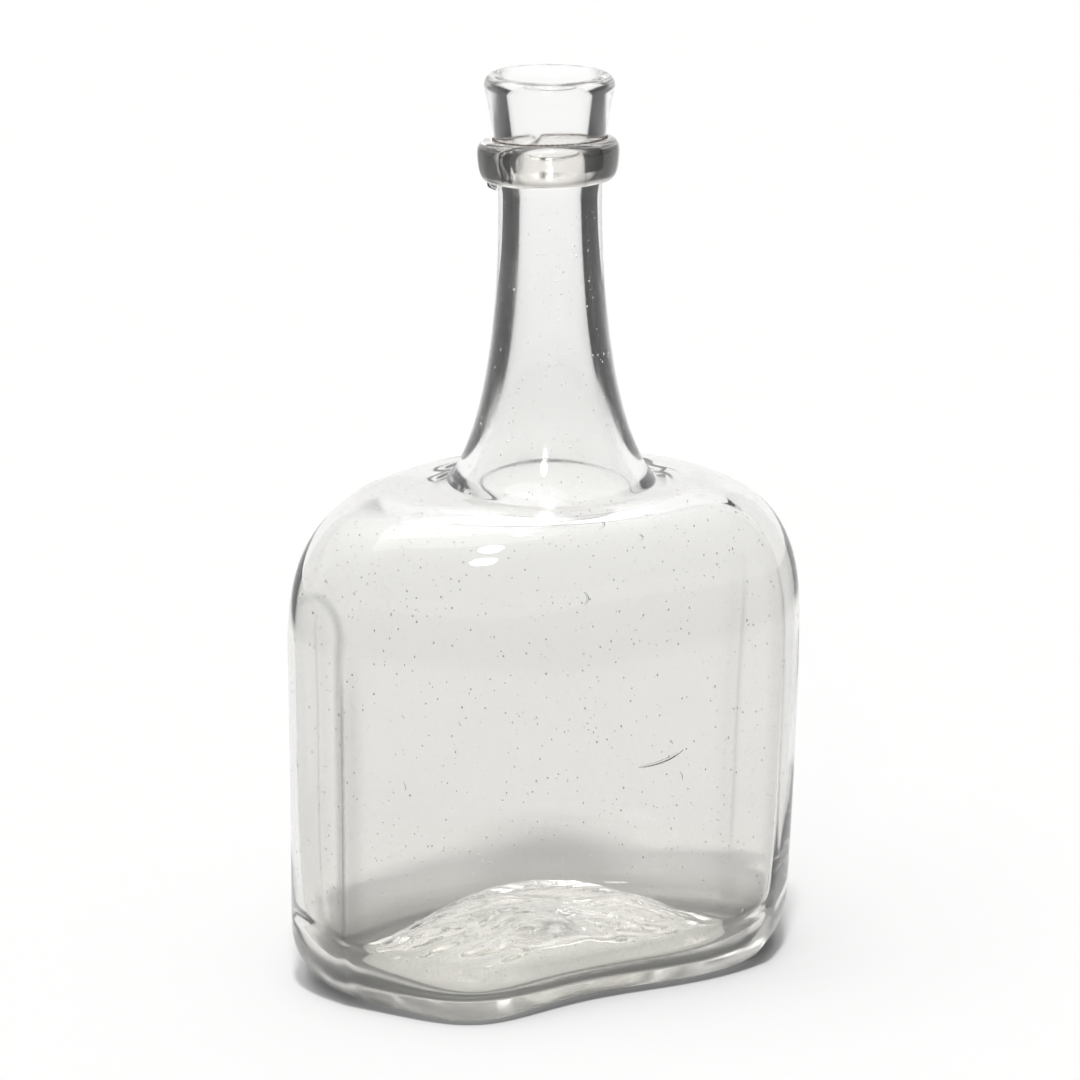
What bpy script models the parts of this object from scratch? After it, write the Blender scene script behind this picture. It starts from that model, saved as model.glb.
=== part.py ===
"""A free-blown, flat-sided glass bottle with a tall neck, a flared mouth and a ring round the neck.

The bottle is three pieces of glass. The vessel is one blown shell, from the kicked-up base to the mouth.
The neck ring is a trail wound once round the neck, with its ends lapped. The pontil scar is the glass
left under the base where the finishing rod was broken away.

Sizes are in metres. The bottle stands on its foot with +Z up, its width along X and its front
towards -Y. The origin is on the foot's plane, below the middle of the body.
"""

from math import copysign, cos, exp, pi, radians, sin, tau

import bmesh
import bpy
from mathutils import Vector

# Plan of the body, measured out from the axis
SIDE_CROWN = 0.0694
RIDGE_REACH = 0.0595
RIDGE_DEPTH = 0.0185
FRONT_CROWN = 0.0395
BACK_CROWN = 0.0399

# Plan of the foot, which is drawn in at the front but for one lobe left of the middle
FOOT_SIDE_CROWN = 0.0682
FOOT_RIDGE_REACH = 0.0585
FOOT_RIDGE_DEPTH = 0.0185
FOOT_FRONT_CROWN = 0.0265
FOOT_BACK_CROWN = 0.0370
LOBE_REACH = 0.0135
LOBE_OFFSET = 0.0285
LOBE_SPREAD = 0.0245
FOOT_DRIFT = 0.0013
FOOT_FADE_HEIGHT = 0.0850

# Heel, standing band and kicked-up base
FRONT_HEEL_RUN = 0.0060
SIDE_HEEL_RUN = 0.0138
FRONT_HEEL_HEIGHT = 0.0080
SIDE_HEEL_HEIGHT = 0.0180
BAND_WIDTH = 0.0040
KICK_HEIGHT = 0.0090
KICK_SET_BACK = 0.0040
SEAT_RADIUS = 0.0105

# Heights of the body, of the shoulder, of the neck up to its waist and of the mouth above that
BODY_RISE = 0.0900
SHOULDER_RISE = 0.0452
NECK_RISE = 0.0748
MOUTH_RISE = 0.0307

# Shoulder and neck
SHOULDER_TILT = 0.0010
ROOT_RADIUS = 0.0273
WAIST_RADIUS = 0.0132
NECK_LEAN = 0.0011
MOUTH_SHIFT = 0.0001

# Mouth
LIP_RADIUS = 0.0165
LIP_ROUND = 0.0029
MOUTH_BORE_RADIUS = 0.0108
MOUTH_BORE_DEPTH = 0.0036

# Thickness of the glass, from the middle of the base up to the waist of the neck
BASE_WALL = 0.0070
BAND_WALL = 0.0050
HEEL_WALL = 0.0034
BODY_WALL = 0.0012
ROOT_WALL = 0.0026
NECK_WALL = 0.0053

# Trail round the neck
RING_RISE = 0.0089
RING_HEIGHT = 0.0110
RING_BUILD = 0.0043
RING_TILT = 0.0008
TAIL_DROOP = 0.0026
TIP_HEIGHT = 0.0014
FUSING_GAP = 0.0003

# Scar under the base
SCAR_RADIUS = 0.0085
SCAR_DROP = 0.0020
SCAR_HOLLOW = 0.0012

# Shape of the curves, as powers, angles and shares
FRONT_SHOULDER_POWER = 2.4
BACK_SHOULDER_POWER = 3.2
SIDE_SHOULDER_POWER = 2.75
NECK_RISE_POWER = 1.3
NECK_DRAW_POWER = 2.2
FLARE_POWER = 1.8
PANEL_POWER = 1.2
FOOT_PANEL_POWER = 4
FOOT_FADE_POWER = 1.5
NECK_STEP_POWER = 1.8
SIDEWAYS_POWER = 2.6
KICK_POWER = 1.3
RING_POWER = 2.8
TIP_POWER = 0.4
LAP_ANGLE = radians(75)
LAP_START = radians(95)
TILT_TOWARDS = radians(-75)
FULLER_TOWARDS = radians(165)
RING_FULLER_SHARE = 0.14
SCAR_WAVE_SHARES = (0.10, 0.06)
SCAR_WAVE_COUNTS = (3, 7)
SCAR_REACH_SHARES = (0.4, 0.7, 0.9)
SCAR_TOP_SHARE = 0.85
WALL_SHARES = (0.08, 0.2, 0.38, 0.58, 0.8, 1.0)
SHARP_ANGLE = radians(50)

# Steps of the mesh
FRONT_STEPS = 16
SIDE_STEPS = 8
KICK_STEPS = 5
HEEL_STEPS = 4
SHOULDER_STEPS = 9
NECK_STEPS = 11
MOUTH_STEPS = 5
LIP_STEPS = 4
RING_STEPS = 72
RING_FACE_STEPS = 8
RING_SEAT_STEPS = 3
SCAR_STEPS = 24

# Tint and roughness of each glass, and how strongly glass bends light
CLEAR_TINT = (0.93, 0.95, 0.93, 1.0)
TRAIL_TINT = (0.80, 0.80, 0.75, 1.0)
SCAR_TINT = (0.84, 0.86, 0.82, 1.0)
BLOWN_ROUGHNESS = 0.02
TRAIL_ROUGHNESS = 0.03
SCAR_ROUGHNESS = 0.25
REFRACTIVE_INDEX = 1.52

# Heights above the foot that follow from the sizes
ROOT_HEIGHT = BODY_RISE + SHOULDER_RISE
WAIST_HEIGHT = ROOT_HEIGHT + NECK_RISE
TOTAL_HEIGHT = WAIST_HEIGHT + MOUTH_RISE


def mix(start, end, share):
    """Return the value or point that lies a share of the way from start to end."""
    return start + (end - start) * share


def clear_scene():
    """Remove every object that the scene starts with."""
    for item in list(bpy.data.objects):
        bpy.data.objects.remove(item, do_unlink=True)


def glass(name, colour, roughness):
    """Return a clear glass material with the piece's own tint and polish."""
    material = bpy.data.materials.new(name)
    material.use_nodes = True
    shader = material.node_tree.nodes["Principled BSDF"]
    shader.inputs["Base Color"].default_value = colour
    shader.inputs["Roughness"].default_value = roughness
    shader.inputs["Metallic"].default_value = 0.0
    shader.inputs["IOR"].default_value = REFRACTIVE_INDEX
    shader.inputs["Transmission Weight"].default_value = 1.0
    return material


def panel_shares():
    """Return the columns round the plan as a panel's name and a share from -1 to 1 along that panel."""
    panels = {"front": FRONT_STEPS, "right": SIDE_STEPS, "back": FRONT_STEPS, "left": SIDE_STEPS}
    columns = []
    for panel, steps in panels.items():
        for step in range(steps):
            columns.append((panel, 2 * step / steps - 1))
    return columns


def panel_bow(share):
    """Return how full a panel is, from nothing at its ridges to one in the middle."""
    return (1 - share ** 2) ** PANEL_POWER


def panel_point(panel, share, sizes):
    """Return a point of a plan with four bowed panels that meet in upright ridges."""
    side_crown, ridge_reach, ridge_depth, front_bow, back_bow = sizes
    bow = panel_bow(share)
    if panel == "front":
        return Vector((ridge_reach * share, -ridge_depth - front_bow(share), 0))
    if panel == "back":
        return Vector((-ridge_reach * share, ridge_depth + back_bow(share), 0))
    side = ridge_reach + (side_crown - ridge_reach) * bow
    if panel == "right":
        return Vector((side, ridge_depth * share, 0))
    return Vector((-side, -ridge_depth * share, 0))


def body_plan(panel, share):
    """Return a point of the body's plan at its fullest."""
    sizes = (
        SIDE_CROWN,
        RIDGE_REACH,
        RIDGE_DEPTH,
        lambda along: (FRONT_CROWN - RIDGE_DEPTH) * panel_bow(along),
        lambda along: (BACK_CROWN - RIDGE_DEPTH) * panel_bow(along),
    )
    return panel_point(panel, share, sizes)


def foot_front_bow(along):
    """Return how far the foot's front stands out from the line of its ridges."""
    from_lobe = (FOOT_RIDGE_REACH * along + LOBE_OFFSET) / LOBE_SPREAD
    full = FOOT_FRONT_CROWN - FOOT_RIDGE_DEPTH + LOBE_REACH * exp(-from_lobe ** 2)
    return full * (1 - along ** FOOT_PANEL_POWER)


def foot_plan(panel, share):
    """Return a point of the foot's plan, with its lobe left of the middle of the front."""
    sizes = (
        FOOT_SIDE_CROWN,
        FOOT_RIDGE_REACH,
        FOOT_RIDGE_DEPTH,
        foot_front_bow,
        lambda along: (FOOT_BACK_CROWN - FOOT_RIDGE_DEPTH) * panel_bow(along),
    )
    return panel_point(panel, share, sizes) - Vector((FOOT_DRIFT, 0, 0))


def wall_loop(heights):
    """Return one loop of the body's wall, whose columns may each have a height of their own."""
    points = []
    for (panel, share), height in zip(panel_shares(), heights):
        foot_share = max(0, 1 - height / FOOT_FADE_HEIGHT) ** FOOT_FADE_POWER
        point = mix(body_plan(panel, share), foot_plan(panel, share), foot_share)
        points.append(Vector((point.x, point.y, height)))
    return points


def neck_axis(height):
    """Return how far the neck's leaning axis stands to the right of the body's middle."""
    return NECK_LEAN * (TOTAL_HEIGHT - height) / (TOTAL_HEIGHT - ROOT_HEIGHT) - MOUTH_SHIFT


def circle_loop(radius, height, middle=0):
    """Return a level circle round a middle on the X axis, whose points keep the columns of the plan."""
    count = len(panel_shares())
    start = -pi / 2 - pi * FRONT_STEPS / count
    points = []
    for step in range(count):
        angle = start + tau * step / count
        points.append(Vector((middle + radius * cos(angle), radius * sin(angle), height)))
    return points


def sideways(point):
    """Return how far a plan point lies towards the sides, from nothing to one at a crown."""
    return min(1, abs(point.x) / SIDE_CROWN) ** SIDEWAYS_POWER


def inset(point, front_run, side_run):
    """Return a point of the body moved in by one run at the front and another at the sides."""
    inwards = max(-1, min(1, point.y / RIDGE_DEPTH))
    across = copysign(side_run * sideways(point), point.x)
    return point - Vector((across, front_run * inwards, 0))


def heel_heights():
    """Return the height at which each column of the heel has turned upright."""
    foot = [foot_plan(panel, share) for panel, share in panel_shares()]
    return [mix(FRONT_HEEL_HEIGHT, SIDE_HEEL_HEIGHT, sideways(point)) for point in foot]


def wall_heights(share):
    """Return each column's height, a share of the way from the top of the heel to the shoulder."""
    return [mix(height, BODY_RISE, share) for height in heel_heights()]


def heel_loop(turn, floor, tops, wall):
    """Return a loop of the heel, which turns from a floor up to the tops, inside a wall of glass."""
    run_share = 1 - sin(turn)
    heights = [mix(floor, top, 1 - cos(turn)) for top in tops]
    side_run = SIDE_HEEL_RUN * run_share + wall
    front_run = FRONT_HEEL_RUN * run_share + wall
    return [inset(point, front_run, side_run) for point in wall_loop(heights)]


def outer_heel_loops():
    """Return the loops that turn from the standing band up into the wall."""
    turns = [pi / 2 * step / HEEL_STEPS for step in range(HEEL_STEPS + 1)]
    return [heel_loop(turn, 0, heel_heights(), 0) for turn in turns]


def inner_heel_loops():
    """Return the loops that turn from the inner floor up to the first loop of the inner wall."""
    tops = wall_heights(WALL_SHARES[0])
    turns = [pi / 2 * step / HEEL_STEPS for step in range(HEEL_STEPS)]
    return [heel_loop(turn, BAND_WALL, tops, HEEL_WALL) for turn in turns]


def base_loops(edge, middle_height, edge_height):
    """Return the loops of a kicked-up base, from its middle out to an edge that isn't among them."""
    middle = [point + Vector((0, KICK_SET_BACK, 0)) for point in circle_loop(SEAT_RADIUS, 0)]
    loops = []
    for step in range(KICK_STEPS):
        share = step / KICK_STEPS
        height = mix(edge_height, middle_height, (1 + cos(pi * share ** KICK_POWER)) / 2)
        loop = [mix(near, far, share) for near, far in zip(middle, edge)]
        loops.append([Vector((point.x, point.y, height)) for point in loop])
    return loops


def underside_loops():
    """Return the loops under the base, from the flat seat of the kick out to the standing band."""
    outer = outer_heel_loops()[0]
    band = [inset(point, BAND_WIDTH, BAND_WIDTH) for point in outer]
    return base_loops(band, KICK_HEIGHT, 0) + [band]


def floor_loops():
    """Return the loops of the inner floor, from its middle out to the inner heel."""
    return base_loops(inner_heel_loops()[0], KICK_HEIGHT + BASE_WALL, BAND_WALL)


def wall_loops():
    """Return the loops of the wall above the heel, closer together near the foot."""
    return [wall_loop(wall_heights(share)) for share in WALL_SHARES]


def shoulder_loops():
    """Return the loops that draw the cornered body in to the round root of the neck."""
    full = [body_plan(panel, share) for panel, share in panel_shares()]
    root = circle_loop(ROOT_RADIUS, 0, neck_axis(ROOT_HEIGHT))
    loops = []
    for step in range(1, SHOULDER_STEPS):
        turn = pi / 2 * step / SHOULDER_STEPS
        loop = []
        for near, far in zip(root, full):
            middle_power = FRONT_SHOULDER_POWER if far.y < 0 else BACK_SHOULDER_POWER
            power = mix(middle_power, SIDE_SHOULDER_POWER, sideways(far))
            point = mix(near, far, cos(turn) ** (2 / power))
            height = mix(BODY_RISE, ROOT_HEIGHT, sin(turn) ** (2 / power))
            height -= SHOULDER_TILT * point.x / SIDE_CROWN * sin(2 * turn)
            loop.append(point + Vector((0, 0, height)))
        loops.append(loop)
    return loops


def neck_radius(height):
    """Return the outer radius of the neck or the mouth at a height above the root."""
    if height < WAIST_HEIGHT:
        rise = (height - ROOT_HEIGHT) / (WAIST_HEIGHT - ROOT_HEIGHT)
        return mix(WAIST_RADIUS, ROOT_RADIUS, (1 - rise ** (1 / NECK_RISE_POWER)) ** NECK_DRAW_POWER)
    rise = (height - WAIST_HEIGHT) / (TOTAL_HEIGHT - LIP_ROUND - WAIST_HEIGHT)
    return mix(WAIST_RADIUS, LIP_RADIUS, rise ** FLARE_POWER)


def neck_loops():
    """Return the loops of the neck, closer together at its flared root."""
    loops = []
    for step in range(NECK_STEPS):
        height = mix(ROOT_HEIGHT, WAIST_HEIGHT, (step / NECK_STEPS) ** NECK_STEP_POWER)
        loops.append(circle_loop(neck_radius(height), height, neck_axis(height)))
    return loops


def mouth_loops():
    """Return the loops of the mouth's outside, from the waist of the neck up to the lip."""
    loops = []
    for step in range(MOUTH_STEPS + 1):
        height = mix(WAIST_HEIGHT, TOTAL_HEIGHT - LIP_ROUND, step / MOUTH_STEPS)
        loops.append(circle_loop(neck_radius(height), height, neck_axis(height)))
    return loops


def mouth_bore_loops():
    """Return the loops of the bore above the waist, which opens towards the lip."""
    loops = []
    for step in range(MOUTH_STEPS + 1):
        share = step / MOUTH_STEPS
        height = mix(WAIST_HEIGHT, TOTAL_HEIGHT - MOUTH_BORE_DEPTH, share)
        radius = mix(WAIST_RADIUS - NECK_WALL, MOUTH_BORE_RADIUS, share)
        loops.append(circle_loop(radius, height, neck_axis(height)))
    return loops


def ramp(start, end, count):
    """Return values that step evenly from start towards end, without end itself."""
    return [mix(start, end, step / count) for step in range(count)]


def wall_thicknesses():
    """Return the glass's thickness at each loop from the top of the heel to the neck's waist."""
    thicknesses = ramp(HEEL_WALL, BODY_WALL, len(WALL_SHARES))
    thicknesses += ramp(BODY_WALL, ROOT_WALL, SHOULDER_STEPS - 1)
    return thicknesses + ramp(ROOT_WALL, NECK_WALL, NECK_STEPS)


def skin_normals(loops):
    """Return the outward normal at each point of a skin made of loops that run upwards."""
    normals = []
    for row, points in enumerate(loops):
        below = loops[max(row - 1, 0)]
        above = loops[min(row + 1, len(loops) - 1)]
        around = []
        for column in range(len(points)):
            along = points[(column + 1) % len(points)] - points[column - 1]
            around.append(along.cross(above[column] - below[column]).normalized())
        normals.append(around)
    return normals


def inner_wall_loops(outer):
    """Return the inner skin from the heel to the waist, set in by the glass's thickness."""
    loops = []
    for points, normals, thickness in zip(outer, skin_normals(outer), wall_thicknesses()):
        loops.append([point - normal * thickness for point, normal in zip(points, normals)])
    return loops


def lip_loops(outer, inner):
    """Return the loops that round the lip over from the outer skin to the bore."""
    loops = []
    for step in range(1, LIP_STEPS):
        turn = pi * step / LIP_STEPS
        loop = []
        for far, near in zip(outer, inner):
            middle = (far + near) / 2
            point = middle + (far - middle) * cos(turn)
            crest = mix(far.z, near.z, (1 - cos(turn)) / 2) + (TOTAL_HEIGHT - middle.z) * sin(turn)
            loop.append(Vector((point.x, point.y, crest)))
        loops.append(loop)
    return loops


def skin_from_loops(loops):
    """Return a mesh skinned over loops in order, each end closed by a fan of faces."""
    skin = bmesh.new()
    rings = [[skin.verts.new(point) for point in points] for points in loops]
    for lower, upper in zip(rings, rings[1:]):
        for column in range(len(lower)):
            after = (column + 1) % len(lower)
            skin.faces.new((lower[column], lower[after], upper[after], upper[column]))
    first, last = rings[0], rings[-1]
    start = skin.verts.new(sum((vert.co for vert in first), Vector()) / len(first))
    end = skin.verts.new(sum((vert.co for vert in last), Vector()) / len(last))
    for column in range(len(first)):
        after = (column + 1) % len(first)
        skin.faces.new((start, first[after], first[column]))
        skin.faces.new((end, last[column], last[after]))
    return skin


def place(name, skin, material):
    """Turn a finished mesh into a smooth-shaded object of the scene."""
    mesh = bpy.data.meshes.new(name)
    skin.to_mesh(mesh)
    skin.free()
    mesh.shade_smooth()
    mesh.set_sharp_from_angle(angle=SHARP_ANGLE)
    mesh.materials.append(material)
    piece = bpy.data.objects.new(name, mesh)
    bpy.context.scene.collection.objects.link(piece)
    return piece


def make_vessel():
    """Make the blown vessel: one shell with its base, body, shoulder, neck and mouth."""
    wall = wall_loops() + shoulder_loops() + neck_loops()
    outer = underside_loops() + outer_heel_loops() + wall + mouth_loops()
    inner = floor_loops() + inner_heel_loops() + inner_wall_loops(wall) + mouth_bore_loops()
    lip = lip_loops(outer[-1], inner[-1])
    skin = skin_from_loops(outer + lip + list(reversed(inner)))
    return place("blown_vessel", skin, glass("clear_glass", CLEAR_TINT, BLOWN_ROUGHNESS))


def ring_section(turn):
    """Return the middle height, half height and build of the trail at a share of its whole length."""
    angle = LAP_START + (tau + LAP_ANGLE) * turn
    from_start = (angle - LAP_START) / LAP_ANGLE
    from_end = (LAP_START + tau + LAP_ANGLE - angle) / LAP_ANGLE
    top = RING_HEIGHT / 2
    bottom = -RING_HEIGHT / 2
    body = RING_HEIGHT - 2 * TIP_HEIGHT - FUSING_GAP
    if from_start < 1:
        bottom = top - TIP_HEIGHT - body * from_start
    if from_end < 1:
        droop = TAIL_DROOP * (1 - from_end) ** 2
        top = bottom + TIP_HEIGHT + body * from_end - droop
        bottom -= droop
    middle = WAIST_HEIGHT + RING_RISE + RING_TILT * cos(angle - TILT_TOWARDS) + (top + bottom) / 2
    fuller = 1 + RING_FULLER_SHARE * cos(angle - FULLER_TOWARDS)
    taper = ((top - bottom) / RING_HEIGHT) ** TIP_POWER
    return angle, middle, (top - bottom) / 2, RING_BUILD * fuller * taper


def ring_loop(turn):
    """Return one cross section of the trail: flat against the neck and full on the outside."""
    angle, middle, half_height, build = ring_section(turn)
    outline = []
    for step in range(RING_FACE_STEPS + 1):
        rise = sin(pi * (step / RING_FACE_STEPS - 1 / 2))
        swell = max(0, 1 - abs(rise) ** RING_POWER) ** (1 / RING_POWER)
        outline.append((rise, build * swell))
    for step in range(1, RING_SEAT_STEPS):
        outline.append((1 - 2 * step / RING_SEAT_STEPS, 0))
    points = []
    for rise, stand_off in outline:
        height = middle + half_height * rise
        radius = neck_radius(height) + FUSING_GAP + stand_off
        points.append(Vector((neck_axis(height) + radius * cos(angle), radius * sin(angle), height)))
    return points


def make_ring():
    """Make the trail that is wound once round the neck, with a scarfed lap and a drooping tail."""
    loops = [ring_loop(step / RING_STEPS) for step in range(RING_STEPS + 1)]
    skin = skin_from_loops(list(reversed(loops)))
    return place("neck_ring", skin, glass("trail_glass", TRAIL_TINT, TRAIL_ROUGHNESS))


def scar_loop(reach, drop):
    """Return one ragged loop of the scar, a share of its reach out and at a drop below its seat."""
    points = []
    for step in range(SCAR_STEPS):
        angle = tau * step / SCAR_STEPS
        ragged = 1
        for size, count in zip(SCAR_WAVE_SHARES, SCAR_WAVE_COUNTS):
            ragged += size * sin(count * angle + count)
        radius = SCAR_RADIUS * reach * mix(1, ragged, reach)
        height = KICK_HEIGHT - FUSING_GAP - drop * mix(1, ragged, reach)
        points.append(Vector((radius * cos(angle), KICK_SET_BACK + radius * sin(angle), height)))
    return points


def make_scar():
    """Make the ragged disc of glass that the finishing rod left under the kick."""
    hollow, ridge, brow = SCAR_REACH_SHARES
    loops = [
        scar_loop(hollow, SCAR_DROP - SCAR_HOLLOW),
        scar_loop(ridge, SCAR_DROP),
        scar_loop(brow, SCAR_DROP),
        scar_loop(1, SCAR_DROP / 2),
        scar_loop(SCAR_TOP_SHARE, 0),
        scar_loop(hollow, 0),
    ]
    skin = skin_from_loops(loops)
    return place("pontil_scar", skin, glass("scar_glass", SCAR_TINT, SCAR_ROUGHNESS))


def main():
    """Build the bottle's three pieces of glass."""
    clear_scene()
    make_vessel()
    make_ring()
    make_scar()


main()
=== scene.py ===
"""A free-blown bottle of clear glass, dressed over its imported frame.

The vessel is lofted again with a fine mesh: the same ridged body, lobed heel, kicked-up base and
leaning neck, with the waves and ripples that blown glass has. The ring is a trail swept along its
own path, the scar is the rough glass under the base, and seeds, blisters and a line of dirt in the
ring's seam are pieces of their own. All sizes are in metres.
"""

import logging
from dataclasses import asdict, dataclass, field
from enum import Enum
from math import cos, pi, radians, sin, tau
from typing import Callable

import bpy
import numpy as np
from mathutils import Matrix, Vector, noise


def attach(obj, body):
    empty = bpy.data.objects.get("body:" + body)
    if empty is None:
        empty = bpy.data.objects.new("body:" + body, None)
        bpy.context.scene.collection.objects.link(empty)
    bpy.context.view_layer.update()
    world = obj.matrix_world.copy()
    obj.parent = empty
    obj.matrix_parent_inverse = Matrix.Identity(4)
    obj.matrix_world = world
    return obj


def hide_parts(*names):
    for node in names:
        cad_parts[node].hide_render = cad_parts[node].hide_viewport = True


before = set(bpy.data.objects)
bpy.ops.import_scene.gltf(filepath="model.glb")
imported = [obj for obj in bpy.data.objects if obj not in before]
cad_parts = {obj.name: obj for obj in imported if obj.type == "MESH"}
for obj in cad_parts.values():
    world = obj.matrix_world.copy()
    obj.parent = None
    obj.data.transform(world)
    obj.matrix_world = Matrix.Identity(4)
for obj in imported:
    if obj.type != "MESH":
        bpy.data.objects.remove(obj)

Amount = np.ndarray | float
Pair = tuple[float, float]
Triple = tuple[float, float, float]
Colour = tuple[float, float, float, float]
Stops = tuple[tuple[float, Triple], ...]
Faces = list[tuple[int, ...]]
Socket = bpy.types.NodeSocket
Material = bpy.types.Material
Piece = bpy.types.Object

LOG = logging.getLogger("bottle")
BODY = "root"
BOTTLE_HEIGHT = 0.2407
# What the points of the trail's path carry: the four parts of its section, its lap and the way round.
TRAIL_MARKS = ("angle", "middle", "half", "build", "lap", "around")
# Tints of the glass, by height as a share of the bottle's. The last is partly an age tint, olive at the foot,
# and partly painted shade: its darker and lighter bands by height stand in for how the light falls on each
# height.
CLEAN: Stops = ((0.0, (1.0, 1.0, 1.0)),)
SMOKY: Stops = ((0.0, (0.82, 0.795, 0.755)), (1.0, (0.82, 0.795, 0.755)))
FILM_AND_SHADE: Stops = (
    (0.0, (0.84, 0.832, 0.765)),
    (0.02, (0.88, 0.873, 0.825)),
    (0.05, (0.915, 0.908, 0.882)),
    (0.14, (0.875, 0.869, 0.853)),
    (0.43, (0.868, 0.864, 0.852)),
    (0.52, (0.925, 0.923, 0.912)),
    (0.59, (0.945, 0.943, 0.935)),
    (0.66, (0.900, 0.898, 0.890)),
    (0.78, (0.955, 0.955, 0.952)),
    (0.86, (0.975, 0.975, 0.972)),
    (0.92, (0.995, 0.995, 0.992)),
)


class Slot(Enum):
    """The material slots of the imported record."""

    CLEAR = "clear_glass"
    TRAIL = "trail_glass"
    SCAR = "scar_glass"


class Column(Enum):
    """The four bowed panels of the body, in their order round the plan."""

    FRONT = 0
    RIGHT = 1
    BACK = 2
    LEFT = 3


def mix(start: Amount, end: Amount, share: Amount) -> Amount:
    """Return the value that lies a share of the way from start to end."""
    return start + (end - start) * share


def smooth_step(share: Amount) -> Amount:
    """Return a share eased at both its ends, held between nothing and one."""
    held = np.clip(share, 0.0, 1.0)
    return held * held * (3 - 2 * held)


def wave(points: np.ndarray, scale: Triple, seed: float) -> np.ndarray:
    """Return smooth random waves at points.

    Args:
        points: Places, in an array whose last axis has three numbers.
        scale: How many waves there are to a metre along each axis.
        seed: An offset that picks one pattern.

    Returns:
        One number from about -1 to 1 for each point.
    """
    flat = points.reshape(-1, 3) * np.array(scale) + seed
    heights = [noise.noise(Vector(place)) for place in flat]
    return np.array(heights).reshape(points.shape[:-1])


def skin_normals(rows: np.ndarray) -> np.ndarray:
    """Return the outward normals of a skin.

    Args:
        rows: The skin's points, whose rows run upwards and whose columns run round it.

    Returns:
        A normal for each point.
    """
    around = np.roll(rows, -1, axis=1) - np.roll(rows, 1, axis=1)
    upward = np.gradient(rows, axis=0)
    normals = np.cross(around, upward)
    return normals / np.linalg.norm(normals, axis=2, keepdims=True)


def soften(rows: np.ndarray, passes: int) -> np.ndarray:
    """Return rows whose points are eased towards their neighbours round each row.

    Args:
        rows: The skin's points.
        passes: How many times they are eased.

    Returns:
        The eased points.
    """
    for _ in range(passes):
        rows = (np.roll(rows, 1, axis=1) + 2 * rows + np.roll(rows, -1, axis=1)) / 4
    return rows


def capped(rows: np.ndarray) -> np.ndarray:
    """Return the points of a skin's rows and, after them, its two poles."""
    return np.concatenate([rows.reshape(-1, 3), rows[0].mean(axis=0)[None], rows[-1].mean(axis=0)[None]])


def skin_faces(rows: int, columns: int) -> Faces:
    """Return the faces of a skin over rows, with a fan of faces over each end.

    Args:
        rows: How many rows of points there are.
        columns: How many points each row has.

    Returns:
        The faces. The two poles are numbered after the rows' points, first the start's.
    """
    here = np.arange(columns)
    after = (here + 1) % columns
    faces: Faces = []
    for row in range(rows - 1):
        low, high = row * columns, (row + 1) * columns
        quads = np.stack([low + here, low + after, high + after, high + here], axis=1)
        faces += [tuple(quad) for quad in quads.tolist()]
    start, last = rows * columns, (rows - 1) * columns
    faces += [(start, int(far), int(near)) for near, far in zip(here, after)]
    faces += [(start + 1, int(last + near), int(last + far)) for near, far in zip(here, after)]
    return faces


def placed(name: str, data: bpy.types.ID) -> Piece:
    """Return a new object of the scene that holds a mesh, a lamp or a lens.

    Args:
        name: The object's name.
        data: What it holds.

    Returns:
        The object, at the origin.
    """
    piece = bpy.data.objects.new(name, data)
    bpy.context.scene.collection.objects.link(piece)
    return piece


def plain_mesh(name: str, points: np.ndarray, faces: Faces, smooth: bool = True) -> Piece:
    """Make an object of the scene from points and faces.

    Args:
        name: The piece's name.
        points: Its corners.
        faces: Its faces, as tuples of corner numbers.
        smooth: Whether it is shaded smooth.

    Returns:
        The new object, at the origin.
    """
    mesh = bpy.data.meshes.new(name)
    mesh.from_pydata(points.tolist(), [], faces)
    mesh.validate()
    if smooth:
        mesh.shade_smooth()
    return placed(name, mesh)


def line_mesh(name: str, points: np.ndarray) -> Piece:
    """Make an object of the scene whose points are joined by edges into one line.

    Args:
        name: The object's name.
        points: The points, in order.

    Returns:
        The new object.
    """
    line = plain_mesh(name, points, [], smooth=False)
    line.data.edges.add(len(points) - 1)
    ends = [end for step in range(len(points) - 1) for end in (step, step + 1)]
    line.data.edges.foreach_set("vertices", ends)
    return line


def mark(piece: Piece, name: str, values: np.ndarray) -> None:
    """Keep a number for each corner of a piece, under a name that nodes can read."""
    piece.data.attributes.new(name, "FLOAT", "POINT").data.foreach_set("value", values)


def grown(name: str, base: Piece, tree: bpy.types.NodeTree, sizes: dict[str, float]) -> Piece:
    """Return what a node tree grows from a base object, as a plain mesh.

    Args:
        name: The new piece's name.
        base: The object that the tree starts from, which is removed.
        tree: The node tree.
        sizes: A value for each of the tree's named inputs.

    Returns:
        The new object, at the origin and with no modifier.
    """
    modifier = base.modifiers.new(name, "NODES")
    modifier.node_group = tree
    sockets = {item.name: item.identifier for item in tree.interface.items_tree if item.in_out == "INPUT"}
    for size, value in sizes.items():
        modifier[sockets[size]] = value
    evaluated = base.evaluated_get(bpy.context.evaluated_depsgraph_get())
    mesh = bpy.data.meshes.new_from_object(evaluated)
    mesh.name = name
    while mesh.materials and mesh.materials[0] is None:
        mesh.materials.pop(index=0)
    for spent in [item.name for item in mesh.attributes if item.name in TRAIL_MARKS]:
        mesh.attributes.remove(mesh.attributes[spent])
    bpy.data.objects.remove(base, do_unlink=True)
    return placed(name, mesh)


def dress(piece: Piece, replaces: tuple[str, ...] = ()) -> None:
    """Make a finished piece ride on the body and stand for its CAD nodes.

    Args:
        piece: The finished piece.
        replaces: The CAD nodes that it stands for.
    """
    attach(piece, BODY)
    if replaces:
        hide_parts(*replaces)
    LOG.info("%s: %d faces", piece.name, len(piece.data.polygons))


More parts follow.
